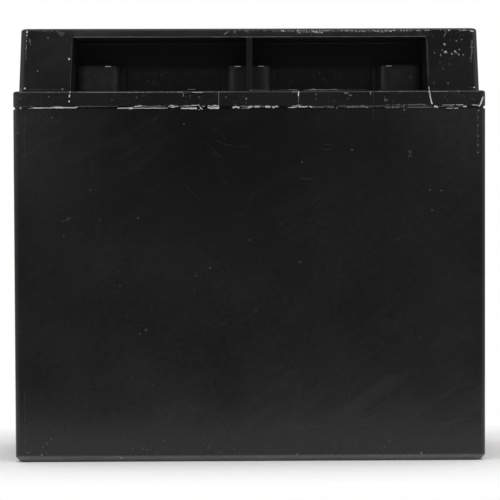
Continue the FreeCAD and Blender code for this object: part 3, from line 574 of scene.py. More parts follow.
def moulded_plastic(name, colour, plastic, gloss=(0.2, 0.27), grain=1.0, dust=None, depth=None,
                    clouds=0.38):
    """Black moulded plastic with grain, dust, smudges, hairline scratches and painted light and
    shade.
    """
    made, tree, shader = new_material(name, Specular_IOR_Level=0.42)
    body = place_group(tree, "moulded_grain", Grain_Scale=plastic.grain_scale).outputs
    marks = place_group(tree, "handling_marks").outputs
    smudge, scratch = marks["Smudge"], marks["Scratch"]
    base = colour
    # Painted shade deep in the pockets: no smudges and no scratches there, and the deep shade
    # colour.
    if depth:
        deep = depth(tree)
        unshaded = maths(tree, "SUBTRACT", 1.0, deep)
        smudge, scratch = product(tree, smudge, unshaded), product(tree, scratch, unshaded)
        base = mix_colour(tree, deep, colour, plastic.deep_shade_colour)
    dusty = product(tree, smudge, plastic.smudge_amount)
    # The dust masks of the lid and the case also carry painted light and a painted floor
    # reflection.
    if dust:
        settled = product(tree, dust(tree, plastic),
                          remap(tree, body["Mottle"], *MOTTLE_RANGE, 0.75, 1.25),
                          remap(tree, body["Cloud"], 0.2, 0.8, 1 - clouds, 1 + clouds))
        dusty = maths(tree, "ADD", dusty, settled, clamp=True)
    scratched = product(tree, scratch, plastic.scratch_amount)
    # The foot bevel is made paler: partly rub, partly a painted reflection of the floor.
    foot = product(tree, remap(tree, split_vector(tree, object_position(tree))["Z"], *FOOT_Z),
                   remap(tree, body["Mottle"], 0.2, 0.6, 0.6, 1.0))
    for mask, tint in ((dusty, plastic.dust_and_light_colour), (scratched, plastic.scratch_colour),
                       (foot, plastic.foot_rub_and_reflection_colour)):
        base = mix_colour(tree, mask, base, tint)
    tree.links.new(base, shader.inputs["Base Color"])
    rough = maths(tree, "ADD", remap(tree, body["Mottle"], *MOTTLE_RANGE, *gloss),
                  product(tree, smudge, SMUDGE_DULLING), clamp=True)
    tree.links.new(rough, shader.inputs["Roughness"])
    height = maths(tree, "SUBTRACT", body["Grain"], product(tree, scratched, SCRATCH_DEPTH))
    bump(tree, shader, height, plastic.grain_height * grain)
    return made


def plain_mottled(name, colour, other, gloss, scale, grain_height):
    """A two-tone finish of one substance, for resins, rubbers, pastes, mats and scuffs."""
    made, tree, shader = new_material(name)
    body = place_group(tree, "moulded_grain", Grain_Scale=scale, Mottle_Scale=scale / 8).outputs
    base = mix_colour(tree, remap(tree, body["Mottle"], 0.35, 0.65), colour, other)
    tree.links.new(base, shader.inputs["Base Color"])
    tree.links.new(remap(tree, body["Grain"], 0.3, 0.7, *gloss), shader.inputs["Roughness"])
    bump(tree, shader, body["Grain"], grain_height)
    return made


def dull_metal(name, colour, tarnish, gloss, streak_depth, cloud_scale):
    """Metal with cloudy tarnish and faint streaks."""
    made, tree, shader = new_material(name, Metallic=1.0)
    body = place_group(tree, "metal_tarnish", Cloud_Scale=cloud_scale).outputs
    base = mix_colour(tree, remap(tree, body["Cloud"], 0.42, 0.7), colour, tarnish)
    tree.links.new(base, shader.inputs["Base Color"])
    tree.links.new(remap(tree, body["Cloud"], 0.3, 0.75, *gloss), shader.inputs["Roughness"])
    bump(tree, shader, body["Streak"], streak_depth)
    return made


def paint(slot, material):
    """Gives the CAD nodes of a material slot their finish."""
    for part in frame["record"]["subparts"]:
        if part["material_slot"] == slot:
            mesh = NODES[part["node"]].data
            mesh.materials.clear()
            mesh.materials.append(material)


def smooth_by_angle(thing, angle=math.radians(30)):
    """Shades a piece smooth but for its sharp edges."""
    for polygon in thing.data.polygons:
        polygon.use_smooth = True
    thing.data.set_sharp_from_angle(angle=angle)


def add_object(name, data):
    """A new object in the scene."""
    made = bpy.data.objects.new(name, data)
    bpy.context.scene.collection.objects.link(made)
    return made


def new_piece(name, shape, material):
    """A new piece of the battery that rides on it, from a bmesh."""
    made = add_object(name, finished_mesh(name, shape))
    made.data.materials.append(material)
    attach(made, "root")
    return made


def finished_mesh(name, shape):
    """The bmesh as a mesh with its faces turned outwards."""
    bmesh.ops.recalc_face_normals(shape, faces=shape.faces)
    mesh = bpy.data.meshes.new(name)
    shape.to_mesh(mesh)
    shape.free()
    return mesh


def add_ring(shape, centre, radius_of):
    """A ring of vertices in the XZ plane, with a radius for each angle."""
    ring = []
    for index in range(BOLT_SEGMENTS):
        angle = math.tau * index / BOLT_SEGMENTS
        radius = radius_of(angle)
        ring.append(shape.verts.new((centre.x + radius * math.cos(angle), centre.y,
                                     centre.z + radius * math.sin(angle))))
    return ring


def skin_rings(shape, rings):
    """Closes rings of vertices to a solid."""
    for first, second in zip(rings, rings[1:]):
        for index in range(len(first)):
            after = (index + 1) % len(first)
            shape.faces.new((first[index], first[after], second[after], second[index]))
    shape.faces.new(rings[0])
    shape.faces.new(rings[-1])


def hexagon_radius(flats):
    """Radius of a hexagon's outline at each angle, with flats at the top and bottom."""
    def radius(angle):
        turned = angle % (math.pi / 3) - math.pi / 6
        return flats / 2 / math.cos(turned)
    return radius


def add_threaded_bolt(shape, x, z, start, end, hardware):
    """Hexagon bolt along +Y with a chamfered head and a helical thread."""
    flats, head_end = hardware.head_flats, start + hardware.head_height
    hexagon = hexagon_radius(flats)
    radius, depth, pitch = hardware.bolt_radius, hardware.thread_depth, hardware.thread_pitch
    outline = ((start, lambda angle: flats * CROWN_SHARE),
               (start + CROWN_LEVEL, lambda angle: min(hexagon(angle), flats * CHAMFER_SHARE)),
               (start + CHAMFER_LEVEL, hexagon), (head_end, hexagon),
               (head_end, lambda angle: radius))
    rings = [add_ring(shape, Vector((x, y, z)), reach) for y, reach in outline]
    thread_start = head_end + pitch
    count = int((end - thread_start) / pitch * THREAD_STEPS)
    for step in range(count + 1):
        y = thread_start + (end - thread_start) * step / count
        run_in = min(1.0, (y - thread_start) / (2 * pitch))
        taper = max(0.0, (y - (end - POINT_LENGTH)) / POINT_LENGTH)

        def thread(angle, y=y, run_in=run_in, taper=taper):
            phase = (y / pitch - angle / math.tau) % 1.0
            ridge = abs(2 * phase - 1)
            crest = min(1.0, max(0.0, ridge * RIDGE_SCALE - RIDGE_DROP))
            return radius - max(depth * (1 - crest) * run_in, depth * taper)

        rings.append(add_ring(shape, Vector((x, y, z)), thread))
    skin_rings(shape, rings)


def add_bar(shape, centre, length, width, height):
    """A low moulded bar with a narrower top, lying on a flat surface."""
    rings = []
    for inset, up in ((0.0, -MARK_SINK), (0.0, height * MARK_SHOULDER), (MARK_BEVEL, height)):
        half_x, half_y = length / 2 - inset, width / 2 - inset
        rings.append([shape.verts.new(centre + Vector((side_x * half_x, side_y * half_y, up)))
                      for side_x, side_y in ((-1, -1), (1, -1), (1, 1), (-1, 1))])
    skin_rings(shape, rings)


class PhotoView:
    """The photograph's camera, to cast its pixels on to the mouldings."""

    def __init__(self, studio):
        seam = CAD_HIGH.z - SEAM_BELOW_ROOF
        self.groove = (seam - GROOVE_REACH, seam + GROOVE_REACH)
        target = Vector((studio.target_x, CAD_LOW.y, studio.target_z))
        turn = Matrix.Rotation(studio.camera_yaw, 3, "Z")
        upright = Matrix.Rotation(math.pi / 2, 3, "X")
        self.rotation = turn @ upright @ Matrix.Rotation(studio.camera_roll, 3, "Z")
        self.place = target + self.rotation @ Vector((0, 0, studio.camera_distance))
        self.spread = studio.view_half_width / studio.camera_distance
        vertices, polygons = [], []
        for name in MOULDINGS:
            mesh, first = NODES[name].data, len(vertices)
            vertices += [vertex.co.copy() for vertex in mesh.vertices]
            polygons += [[first + index for index in polygon.vertices] for polygon in mesh.polygons]
        self.surface = BVHTree.FromPolygons(vertices, polygons)

    def matrix(self):
        """The camera's place and turn."""
        return Matrix.Translation(self.place) @ self.rotation.to_4x4()

    def cast(self, pixel_x, pixel_y):
        """Where a pixel of the photograph meets the mouldings, and the surface's normal there."""
        half = PHOTO_SIDE / 2
        ray = Vector(((pixel_x - half) / half * self.spread,
                      (half - pixel_y) / half * self.spread, -1))
        hit, normal, _, _ = self.surface.ray_cast(self.place, (self.rotation @ ray).normalized())
        return hit, normal

    def filled(self, hit):
        """The point, brought out to the wall where bruised plastic closes the seam's groove."""
        inside = self.groove[0] < hit.z < self.groove[1] and hit.y < CAD_LOW.y + GROOVE_DEPTH
        return Vector((hit.x, min(hit.y, CAD_LOW.y + GROOVE_FILL), hit.z)) if inside else hit


def ragged(seed, along, scale=1.0):
    """Smooth repeatable noise from -1 to 1 along a mark."""
    return noise.noise(Vector((along * scale, seed * 7.31, seed * 1.7)))


def pixel_points(line):
    """The points of a line that is written as x, y, x, y and so on."""
    return list(zip(line[::2], line[1::2]))


def add_flake(shape, view, outline, lift):
    """A thin flake of bruised plastic over an outline in pixels, laid on the surface."""
    centre = [sum(point[axis] for point in outline) / len(outline) for axis in (0, 1)]
    found = [view.cast(*point) for point in [*outline, centre]]
    if any(hit is None for hit, _ in found):
        return
    middle, normal = found[-1]
    rim, low = [], []
    for hit, _ in found[:-1]:
        if (hit - middle).length > FLAKE_REACH:
            return
        rim.append(shape.verts.new(view.filled(hit) + normal * lift * FLAKE_RIM))
        low.append(shape.verts.new(hit - normal * lift * FLAKE_ROOT))
    peak = shape.verts.new(view.filled(middle) + normal * lift)
    root = shape.verts.new(middle - normal * lift * FLAKE_ROOT)
    for index in range(len(rim)):
        after = (index + 1) % len(rim)
        shape.faces.new((rim[index], rim[after], peak))
        shape.faces.new((low[after], low[index], root))
        shape.faces.new((low[index], low[after], rim[after], rim[index]))


def add_speck(shape, view, spot, radius, lift, seed):
    """A small irregular fleck, with its place and radius in pixels."""
    outline = []
    for index in range(FLECK_CORNERS):
        angle = math.tau * index / FLECK_CORNERS
        reach = radius * (0.8 + 0.5 * ragged(seed, index * 2.3))
        outline.append((spot[0] + reach * math.cos(angle), spot[1] + reach * math.sin(angle)))
    add_flake(shape, view, outline, lift)


def add_speckles(shape, view, line, half_height, count, radius, lift, seed):
    """Small flecks scattered along a line of pixels."""
    start, end = [Vector(point) for point in pixel_points(line)]
    run = end - start
    side = Vector((-run.y, run.x)).normalized()
    draw = random.Random(seed)
    for index in range(count):
        spot = start + run * draw.random() + side * half_height * draw.uniform(-1, 1)
        add_speck(shape, view, tuple(spot), radius * draw.uniform(0.5, 1), lift, seed + index)


def add_scuff(shape, view, line, width, cover, lift, seed):
    """A broken scuff along a line of pixels, with fewer gaps the higher its cover."""
    # Noise features per pixel for the gaps, the crumbs, the width and the wander of the pieces, and
    # how far each reaches over the next.
    gaps, crumbs, waver, drift = 0.55, 1.9, 0.9, 0.4
    overlap = 1.15
    points = pixel_points(line)
    total = 0.0
    for first, second in zip(points, points[1:]):
        start, run = Vector(first), Vector(second) - Vector(first)
        count = max(1, int(run.length / SCUFF_STEP))
        side = Vector((-run.y, run.x)).normalized()
        for index in range(count):
            along = total + run.length * index / count
            shown = 0.5 + 0.5 * ragged(seed, along, gaps) + 0.25 * ragged(seed + 5, along, crumbs)
            if shown < 1 - cover:
                continue
            corners = []
            for share, sign in ((0, -1), (overlap, -1), (overlap, 1), (0, 1)):
                place = along + share * run.length / count
                thick = width * (0.82 + 0.5 * ragged(seed + sign, place, waver))
                aside = 0.35 * width * ragged(seed + 9, place, drift)
                centre = start + run * ((index + share) / count)
                corners.append(centre + side * (sign * thick / 2 + aside))
            add_flake(shape, view, [tuple(corner) for corner in corners], lift)
        total += run.length


# Scuffs as a line of pixels (x, y, x, y and so on), its width in pixels and its cover from 0 to 1.
# Whitened plastic along the seam, on the rim and the block, and painted glints on the tops of the
# wells.
PALE_SCUFFS_AND_GLINTS = (
    ((33, 108.2, 52, 107.9, 75, 107.9, 77.4, 106.8), 1.3, 0.97),
    ((52, 107.2, 57, 106.9, 62, 107.4), 1, 0.8), ((117.5, 108.4, 133, 108.1), 1.1, 0.95),
    ((128.6, 108.1, 132.6, 108), 1.9, 1), ((134.4, 106.3, 142, 106.1), 1.5, 0.9),
    ((142, 106.3, 166, 106.1), 0.6, 0.66), ((133, 108.3, 167.6, 108.1), 0.9, 0.9),
    ((168.4, 106.2, 178.4, 106), 2.1, 0.97), ((171, 107.5, 174.4, 107.3), 1.2, 1),
    ((181, 108.2, 196.6, 108.4), 1.2, 0.95), ((189, 108.4, 196.8, 108.5), 1.9, 0.95),
    ((183, 106.2, 197, 105.6), 1, 0.8), ((198, 104.4, 199.6, 106.4), 1.1, 1),
    ((200.2, 107, 201, 108.6, 202.6, 109.2), 1, 0.85), ((202.4, 106.6, 204.4, 106.5), 0.7, 0.8),
    ((207.6, 108, 219, 107.9), 1.7, 0.95), ((208, 106, 219, 105.8), 1.3, 0.8),
    ((218.2, 105, 218.6, 108.6), 1.3, 1), ((232.4, 107.8, 235.4, 106.9, 239.2, 107.6), 2, 1),
    ((248, 107.2, 252.2, 106.8), 2.5, 1), ((254, 106.8, 260, 106.4), 2.6, 0.9),
    ((265.2, 106.8, 269.8, 106.4), 2.5, 1), ((272.4, 107, 277.6, 106.8), 2.1, 0.95),
    ((288, 107.6, 293, 107.4, 297, 106.9), 1, 0.95), ((292, 106.2, 300.4, 105.2), 0.8, 0.9),
    ((298.2, 107, 307.6, 106.6), 1.5, 0.85), ((309, 106.2, 311.8, 107.4), 1.4, 1),
    ((434, 107, 437.6, 106.6), 2.1, 1), ((442.6, 105.2, 463, 104.8), 0.9, 0.85),
    ((446, 108.3, 458, 108.2), 0.7, 0.8), ((463.2, 106.5, 466.4, 106.6), 1.7, 1),
    ((471.8, 104.8, 478, 105.3), 1, 0.95), ((478.4, 106.2, 481.2, 103, 483.2, 96.8), 1.6, 1),
    ((289, 90, 297.6, 89.8), 0.9, 0.9), ((298.4, 89.8, 298.6, 96), 1.2, 1),
    ((308.4, 89.8, 337, 89.6), 0.9, 0.92), ((311, 89.3, 315, 89.3), 0.9, 1),
    ((192, 92.3, 202.6, 92.2), 0.6, 0.8), ((70.2, 91, 69.9, 93), 0.9, 1),
    ((69.4, 94.6, 69, 97.2), 1.3, 1), ((429.2, 86.6, 429.3, 89.6), 0.9, 0.9),
    ((429.2, 90.4, 429.3, 92.6), 2, 1),
    ((429.6, 92.6, 430.4, 97, 431, 101, 432.2, 104), 1.4, 0.95),
    ((470.2, 31, 473.4, 31.2), 1.3, 1), ((187.6, 89.5, 195, 89.3), 0.6, 0.9),
    # Painted glints on the top edges of the wells.
    ((105.4, 66.6, 110.8, 66.5), 0.7, 1), ((234.6, 66.5, 240.6, 66.4), 0.7, 1),
    ((258, 66.4, 263.8, 66.3), 0.7, 1), ((386.4, 66, 391.8, 65.9), 0.7, 1),
)

# Rubbed lines in the seam and on the rim, the block, the foot and the bar over the pockets, and
# painted highlights along the window's top edge and the blocks' front edges.
GREY_SCUFFS_AND_HIGHLIGHTS = (
    ((51.6, 107.4, 57, 106.9, 63, 107.3), 2.2, 1), ((28, 108.6, 34, 108.3), 0.9, 0.7),
    ((78.6, 106.7, 98, 106.4), 0.9, 0.95), ((98, 106.5, 118, 106.3), 0.7, 0.62),
    ((180, 106.1, 183.4, 106), 1.6, 1), ((207.4, 106.9, 218.8, 106.8), 2.6, 0.95),
    ((240.6, 106.4, 248, 106.8), 1.4, 0.8), ((252, 106.7, 280, 106.6), 1.3, 0.6),
    ((241, 108.6, 249, 108.4), 0.8, 0.6), ((312, 107.2, 334, 107.2), 1, 0.66),
    ((341, 105.9, 367, 105.5), 0.9, 0.85),
    ((347, 107, 357, 106.6, 363, 106.2, 368, 107.2), 2.2, 0.9), ((376, 106.2, 381, 106), 1, 0.7),
    ((385, 107.6, 398.6, 107.3), 1, 0.62), ((385, 104.8, 408, 104.6), 0.7, 0.5),
    ((408, 104.6, 425.6, 104.4), 0.9, 0.9), ((408, 107.5, 422, 107.4), 0.9, 0.85),
    ((422, 107.6, 434, 107.4), 0.7, 0.6), ((438, 106.4, 463, 106.4), 0.8, 0.5),
    # The second scuff below is a painted highlight on the left block's front edge.
    ((18.8, 106.9, 33, 106.8), 0.7, 0.6), ((26, 28.6, 26.1, 33), 1.1, 0.7),
    ((16, 92.6, 70, 92.4), 0.5, 0.35), ((77.6, 92.4, 128, 92.3), 0.6, 0.8),
    ((128, 92.4, 178, 92.2), 0.6, 0.6), ((177.6, 92.3, 183, 92.2), 1.1, 1),
    ((202, 92.2, 232, 92), 0.6, 0.62), ((183.3, 93, 183.3, 96.6), 0.8, 1),
    ((218.8, 91, 218.6, 105), 0.7, 0.8), ((250, 90.1, 289, 89.9), 0.9, 0.9),
    ((292, 92, 296.8, 91.7), 1.5, 0.95), ((299, 90.3, 308.4, 90), 1.3, 0.85),
    ((298.5, 96, 298.5, 104), 0.7, 0.7), ((337, 89.8, 342, 90), 1.2, 0.8),
    ((342, 89.7, 366, 89.6), 0.6, 0.7), ((344, 93, 348.4, 93), 1.5, 0.95),
    ((349, 95.3, 351.8, 95.4), 1.4, 0.9), ((385, 98.5, 385, 101.2), 1, 1),
    ((387, 98.7, 387, 101), 0.8, 0.9), ((378, 91.6, 428, 91.4), 0.6, 0.45),
    ((432.6, 91.4, 447.6, 91.2), 0.9, 0.95), ((457, 90.6, 459.8, 91.6), 1.7, 1),
    ((228.2, 31.2, 224.2, 34.8), 1.3, 1), ((446.8, 31.4, 443.8, 36.2), 0.8, 0.95),
    # A painted highlight down the right block's front edge.
    ((472.2, 39.6, 471.6, 47, 472.2, 51, 471.2, 57, 469.8, 58.4), 0.8, 0.9),
    ((469.8, 47.4, 474, 47.2), 0.6, 0.9), ((17.6, 130, 17.8, 160), 0.7, 0.3),
    ((18, 456.4, 120, 456.4), 0.8, 0.36), ((120, 456.2, 300, 455.8), 0.7, 0.3),
    ((300, 455.6, 478, 454.6), 0.8, 0.34), ((21, 93, 20.6, 88), 0.7, 0.6),
    # A painted highlight along the window's top edge.
    ((73.4, 37.1, 250, 36.9, 374, 36.6, 425.2, 36.2), 0.8, 1),
)

# Hairlines and smears on the lid and the case, and painted highlights along the window's edges, the
# blocks' front edges and feet and the rim's left corner, with a painted reflection inside the
# pockets under the bar.
FAINT_SCUFFS_AND_HIGHLIGHTS = (
    # Painted highlights at the feet of the two blocks.
    ((28, 89.5, 60, 89.6), 0.7, 1), ((468.6, 87.5, 477.6, 87.3), 0.9, 1),
    # The first below is a painted highlight on the left block's front edge.
    ((26, 32, 26.1, 60), 1.5, 0.9), ((221.4, 76, 221.3, 87), 0.6, 0.9),
    # The second below is a painted highlight on the rim's left corner.
    ((219, 80, 219, 88), 0.5, 0.7), ((17.4, 93.4, 17.6, 104), 1.8, 0.8),
    # The first below is a painted highlight on the right block's front edge.
    ((471.4, 40, 471, 62), 2, 0.7), ((462, 95, 474, 100), 1, 0.5),
    ((58, 33, 64.6, 33.2), 2.8, 0.9), ((60, 35.4, 63.6, 35.2), 1.8, 1),
    # A painted highlight down the window's left edge, and a painted reflection inside the pockets
    # under the bar, which goes on along the next line.
    ((72.5, 38.6, 70.3, 88), 0.9, 1), ((80, 44.4, 244, 43.9), 0.5, 0.9),
    # The second below is a painted highlight down the window's right edge.
    ((256, 43.8, 414, 43.4), 0.5, 0.9), ((427, 39, 428.6, 76), 0.9, 0.95),
    ((80, 106.4, 118, 106.2), 1.6, 0.7), ((312, 106.6, 432, 105.8), 2.4, 0.66),
    ((205, 142, 222, 158), 0.26, 0.6), ((213, 128, 224, 137, 226, 146), 0.26, 0.6),
    ((216, 141, 236, 147, 250, 146), 0.26, 0.55), ((208, 150, 216, 155), 0.24, 0.6),
    ((184, 183, 193, 194, 206, 203), 0.26, 0.5), ((190, 276, 206, 268, 232, 256), 0.26, 0.4),
    ((282, 428, 330, 425.4), 0.5, 0.8), ((326, 419, 366, 419.6), 0.5, 0.8),
    ((440, 424, 474, 418), 0.4, 0.65), ((300, 178.6, 313, 179), 0.5, 0.7),
    ((322, 149, 330, 149.6), 0.5, 0.6), ((323, 144.6, 332, 145), 0.4, 0.6),
    ((62, 222, 72, 217), 0.7, 0.7), ((404, 220, 412, 233), 0.3, 0.6),
    ((373.2, 66, 373.5, 88), 0.6, 1), ((373.4, 92, 373.6, 104), 0.5, 0.8),
    ((373.2, 108, 373, 120), 0.5, 0.7), ((152.6, 121, 159.4, 114.6), 0.4, 0.7),
    ((24.4, 116, 24.2, 172), 0.5, 0.6), ((24.6, 392, 25, 452), 0.5, 0.6),
    ((477.6, 110, 478, 156), 0.5, 0.7), ((408, 150, 412, 157), 0.5, 0.8),
    ((403, 236, 396, 240), 0.4, 0.8),
)

# Flecks as a pixel's x and y, and a radius in pixels.
PALE_FLECKS = (
    (69.2, 59, 1.3), (24.8, 88.5, 1.2), (27.2, 32, 1.1), (20.8, 108.4, 1.1), (69, 101.4, 1.1),
    (474.2, 87.4, 1), (121.4, 457.8, 0.8), (444.2, 44, 0.8), (445.2, 51.8, 0.9),
    (454.8, 51.2, 0.7), (37.6, 71, 0.6), (199, 109.6, 0.6),
)
GREY_FLECKS = (
    (42, 455, 1.3), (421.4, 453, 1.4), (20.6, 458, 1.1), (122.4, 457.6, 1.5), (296.4, 454.6, 1.3),
    (476.4, 457.4, 1), (145, 457, 0.8), (385.4, 447.4, 0.7), (381, 448.6, 0.6), (444.6, 44.4, 1.7),
    (442, 50, 1), (446, 52, 1.9), (444.6, 52.2, 1.2), (440.8, 55.2, 1), (451.8, 53.7, 1.3),
    (455, 51.4, 1.4), (456, 52.8, 1.2), (458.8, 54.7, 1.3), (459.4, 49.5, 1.2), (463.3, 54.7, 1),
    (62.3, 89.2, 1.4), (48.7, 96.7, 0.9), (128.4, 92.4, 0.9), (246.3, 98.7, 1.3), (226.3, 97, 0.9),
    (246, 102.8, 0.7), (246, 106, 0.8), (370.4, 92.4, 1.2), (370.4, 93.8, 1.1),
    (204.6, 105.6, 0.8), (336.8, 107.9, 0.9), (396.6, 107.4, 1), (404.2, 109.8, 1.1),
    (479, 110.2, 0.9), (381, 91.2, 0.9), (456.3, 40.8, 1.2), (461.6, 39.6, 0.8),
    (434.6, 52.7, 0.9), (48, 38, 1.1), (234.6, 32, 1.1), (478, 110.6, 0.8), (478, 117.4, 0.9),
    (478, 125.4, 0.8), (478, 136, 0.9), (478, 145, 0.8), (478, 152.4, 0.9), (190, 96, 0.7),
    (316, 94, 0.7), (334, 101, 0.7), (112, 100, 0.6), (441.4, 190.6, 0.8), (302, 162, 0.6),
    (256, 311, 0.6), (100, 220, 0.6), (52, 117.4, 0.8), (448.2, 83.2, 1), (449.4, 64, 0.6),
    (444, 69.2, 0.6), (410.6, 77.4, 0.7), (328, 106.4, 0.9),
)
FAINT_FLECKS = (
    (164.7, 71.9, 1.3), (162.1, 75.3, 1.6), (147.4, 80.5, 1.4), (159.5, 85.7, 1),
    (203.5, 71.9, 1.3), (190.6, 84, 1), (293.1, 70.6, 1.4), (313.8, 76.6, 2.2), (324.2, 80.1, 1.4),
    (334.5, 72.3, 1.1), (339.7, 80.1, 1.4), (291.4, 80.1, 1.8), (319, 73.2, 1.5), (325, 86.1, 0.8),
    (136.4, 97.6, 1.3), (144, 95.6, 1), (199, 97.4, 1.6), (235.6, 105, 1.3), (366, 103.6, 0.9),
    (348, 98.6, 1.3), (384.6, 96.6, 1.1), (447.6, 100.6, 1.2), (393, 101.4, 1.2), (316, 99.4, 1.2),
    (20.4, 98.6, 1.4), (434, 82.8, 1.4), (440, 62.6, 1.2), (443, 67.6, 1.1), (51.4, 439, 1.6),
    (47, 443.6, 1.8), (43, 447.4, 1.2), (46.4, 452.4, 1.4), (28, 452.6, 1.5), (24.6, 442, 1.2),
    (133, 449, 1.2), (142.6, 448.8, 1.4), (146.6, 449.4, 1.2), (164, 440.4, 1.4), (204, 443.8, 1),
    (208.6, 448, 1.8), (221, 452.4, 1.4), (234.4, 449, 1.2), (269, 447.6, 1.6), (269.6, 451, 1.2),
    (319.4, 440.6, 1.3), (336, 443.6, 1.3), (357, 442, 1.8), (389.6, 441.6, 1.8), (401, 452, 1.4),
    (442, 444, 1.6), (424.8, 447.6, 1), (63.6, 236, 1), (146, 330, 2), (140, 334, 1.4),
    (138, 218, 1.2), (250, 240, 1), (300, 262, 1.2), (210, 268, 1.6), (196, 276, 1.3),
    (90, 190, 1.2), (410, 152, 1.8), (409, 156, 1.2), (352, 150, 1.4), (430, 190, 1.2),
    (432, 210, 1.4), (68, 219, 1.8), (184, 124, 1), (120, 286, 1.2),
)

# Speckled bands as a line of pixels, half their height, the number of specks and the largest
# radius in pixels.
PALE_SPECKLES = (
    ((272, 31, 428, 30.4), 0.4, 70, 0.7), ((296, 32.2, 326, 32), 1.3, 22, 0.8),
    ((352, 31.8, 374, 31.4), 0.9, 9, 0.7), ((374, 31, 395, 30.9), 0.7, 12, 0.8),
    ((428, 30.4, 470, 30.2), 0.4, 14, 0.7), ((26.8, 34, 26.3, 50), 0.3, 9, 0.6),
    ((29, 36, 31, 48), 0.6, 7, 0.4),
)
GREY_SPECKLES = (
    ((233, 31.4, 430, 30.6), 0.8, 90, 0.8), ((30, 31.6, 68, 31.4), 0.6, 12, 0.7),
    ((380, 33, 388, 32), 1.2, 9, 0.6), ((16, 107, 34, 106.8), 0.8, 10, 0.5),
    ((180, 97, 250, 97), 5, 26, 0.45), ((380, 107.4, 408, 107.2), 1.2, 18, 0.6),
    ((250, 91, 300, 91), 0.9, 12, 0.4), ((430, 36, 472, 36), 4, 14, 0.4),
    ((436, 56, 466, 56), 5, 16, 0.45), ((433, 97, 482, 96), 4.5, 16, 0.4),
    ((130, 75, 222, 75), 11, 16, 0.4), ((30, 400, 180, 400), 30, 26, 0.35),
    ((300, 150, 470, 150), 40, 22, 0.35), ((380, 330, 470, 330), 60, 22, 0.35),
    ((90, 240, 240, 240), 50, 18, 0.35), ((20, 453, 480, 450), 3, 34, 0.4),
)
FAINT_SPECKLES = (
    ((36, 117, 66, 119), 4, 34, 0.5), ((150, 116, 240, 116), 7, 20, 0.4),
    ((398, 114, 470, 114), 6, 24, 0.45), ((18, 97.5, 482, 96.5), 4.6, 90, 0.6),
    ((78, 77, 230, 77), 10, 26, 0.6), ((258, 77, 425, 77), 10, 34, 0.6),
    ((70, 34.4, 432, 33.6), 2.2, 40, 0.5), ((30, 60, 68, 60), 24, 14, 0.5),
)

# Finishes of the inner parts: slot, name, two colours, roughness, grains per metre and relief.
INNER_FINISHES = (
    ("joint_resin", "joint_epoxy",
     (0.018, 0.018, 0.02), (0.03, 0.03, 0.032), (0.18, 0.34), 900, 0.004 * MM),
    ("valve_rubber", "valve_rubber",
     (0.014, 0.014, 0.014), (0.022, 0.022, 0.021), (0.62, 0.8), 1800, 0.008 * MM),
    ("seal_rubber", "gasket_rubber",
     (0.012, 0.012, 0.012), (0.02, 0.02, 0.02), (0.55, 0.72), 1800, 0.006 * MM),
    ("glass_mat", "glass_mat_fibre",
     (0.78, 0.78, 0.75), (0.66, 0.66, 0.62), (0.8, 0.98), 2400, 0.03 * MM),
    ("positive_paste", "lead_dioxide_paste",
     (0.075, 0.035, 0.02), (0.11, 0.055, 0.032), (0.75, 0.95), 1500, 0.03 * MM),
    ("negative_paste", "spongy_lead_paste",
     (0.16, 0.165, 0.17), (0.23, 0.235, 0.24), (0.6, 0.85), 1500, 0.02 * MM),
    ("positive_seal_resin", "positive_pole_resin",
     (0.36, 0.018, 0.012), (0.26, 0.012, 0.01), (0.1, 0.24), 700, 0.006 * MM),
    ("negative_seal_resin", "negative_pole_resin",
     (0.012, 0.013, 0.015), (0.024, 0.025, 0.028), (0.1, 0.24), 700, 0.006 * MM),
)

# Softboxes: name, place, the point that each faces, size and share of the lamp power.
LAMPS = (
    ("overhead_softbox", (0.0, -0.3, 1.2), (0.0, 0.0, 0.05), 1.2, 1.0),
    ("left_softbox", (-1.3, -0.3, 0.6), (0.0, 0.0, 0.09), 0.7, 0.28),
    ("right_softbox", (1.3, -0.25, 0.65), (0.0, 0.0, 0.09), 0.7, 0.28),
)

# The floor fades to the white background between these distances from the battery, and the dim
# room in the reflections ends between these directions along Y.
FLOOR_FADE = (6 * MM, 70 * MM)
DIM_ROOM_Y = (-0.97, -0.3)


def build_floor(studio):
    """Pale floor that fades into the white background away from the battery."""
    shape = bmesh.new()
    bmesh.ops.create_grid(shape, x_segments=1, y_segments=1, size=studio.floor_half)
    for vertex in shape.verts:
        vertex.co.y = max(vertex.co.y, -studio.floor_front)
    floor = add_object("studio_floor", finished_mesh("studio_floor", shape))
    made, tree, shader = new_material("studio_floor", Roughness=0.9,
                                      Base_Color=(*studio.floor_colour, 1))
    place = vector_maths(tree, "ABSOLUTE", object_position(tree))["Vector"]
    beyond = split_vector(tree, vector_maths(tree, "SUBTRACT", place, CAD_HIGH)["Vector"])
    fade = remap(tree, maths(tree, "MAXIMUM", beyond["X"], beyond["Y"]), *FLOOR_FADE)
    seen = tree.nodes.new("ShaderNodeLightPath").outputs["Is Camera Ray"]
    white = new_node(tree, "ShaderNodeEmission", {"Color": (1, 1, 1, 1), "Strength": 1.0})
    mixed = new_node(tree, "ShaderNodeMixShader", {
        0: product(tree, fade, seen), 1: shader.outputs[0], 2: white.outputs[0]})
    tree.links.new(mixed.outputs[0], tree.nodes["Material Output"].inputs["Surface"])
    floor.data.materials.append(made)


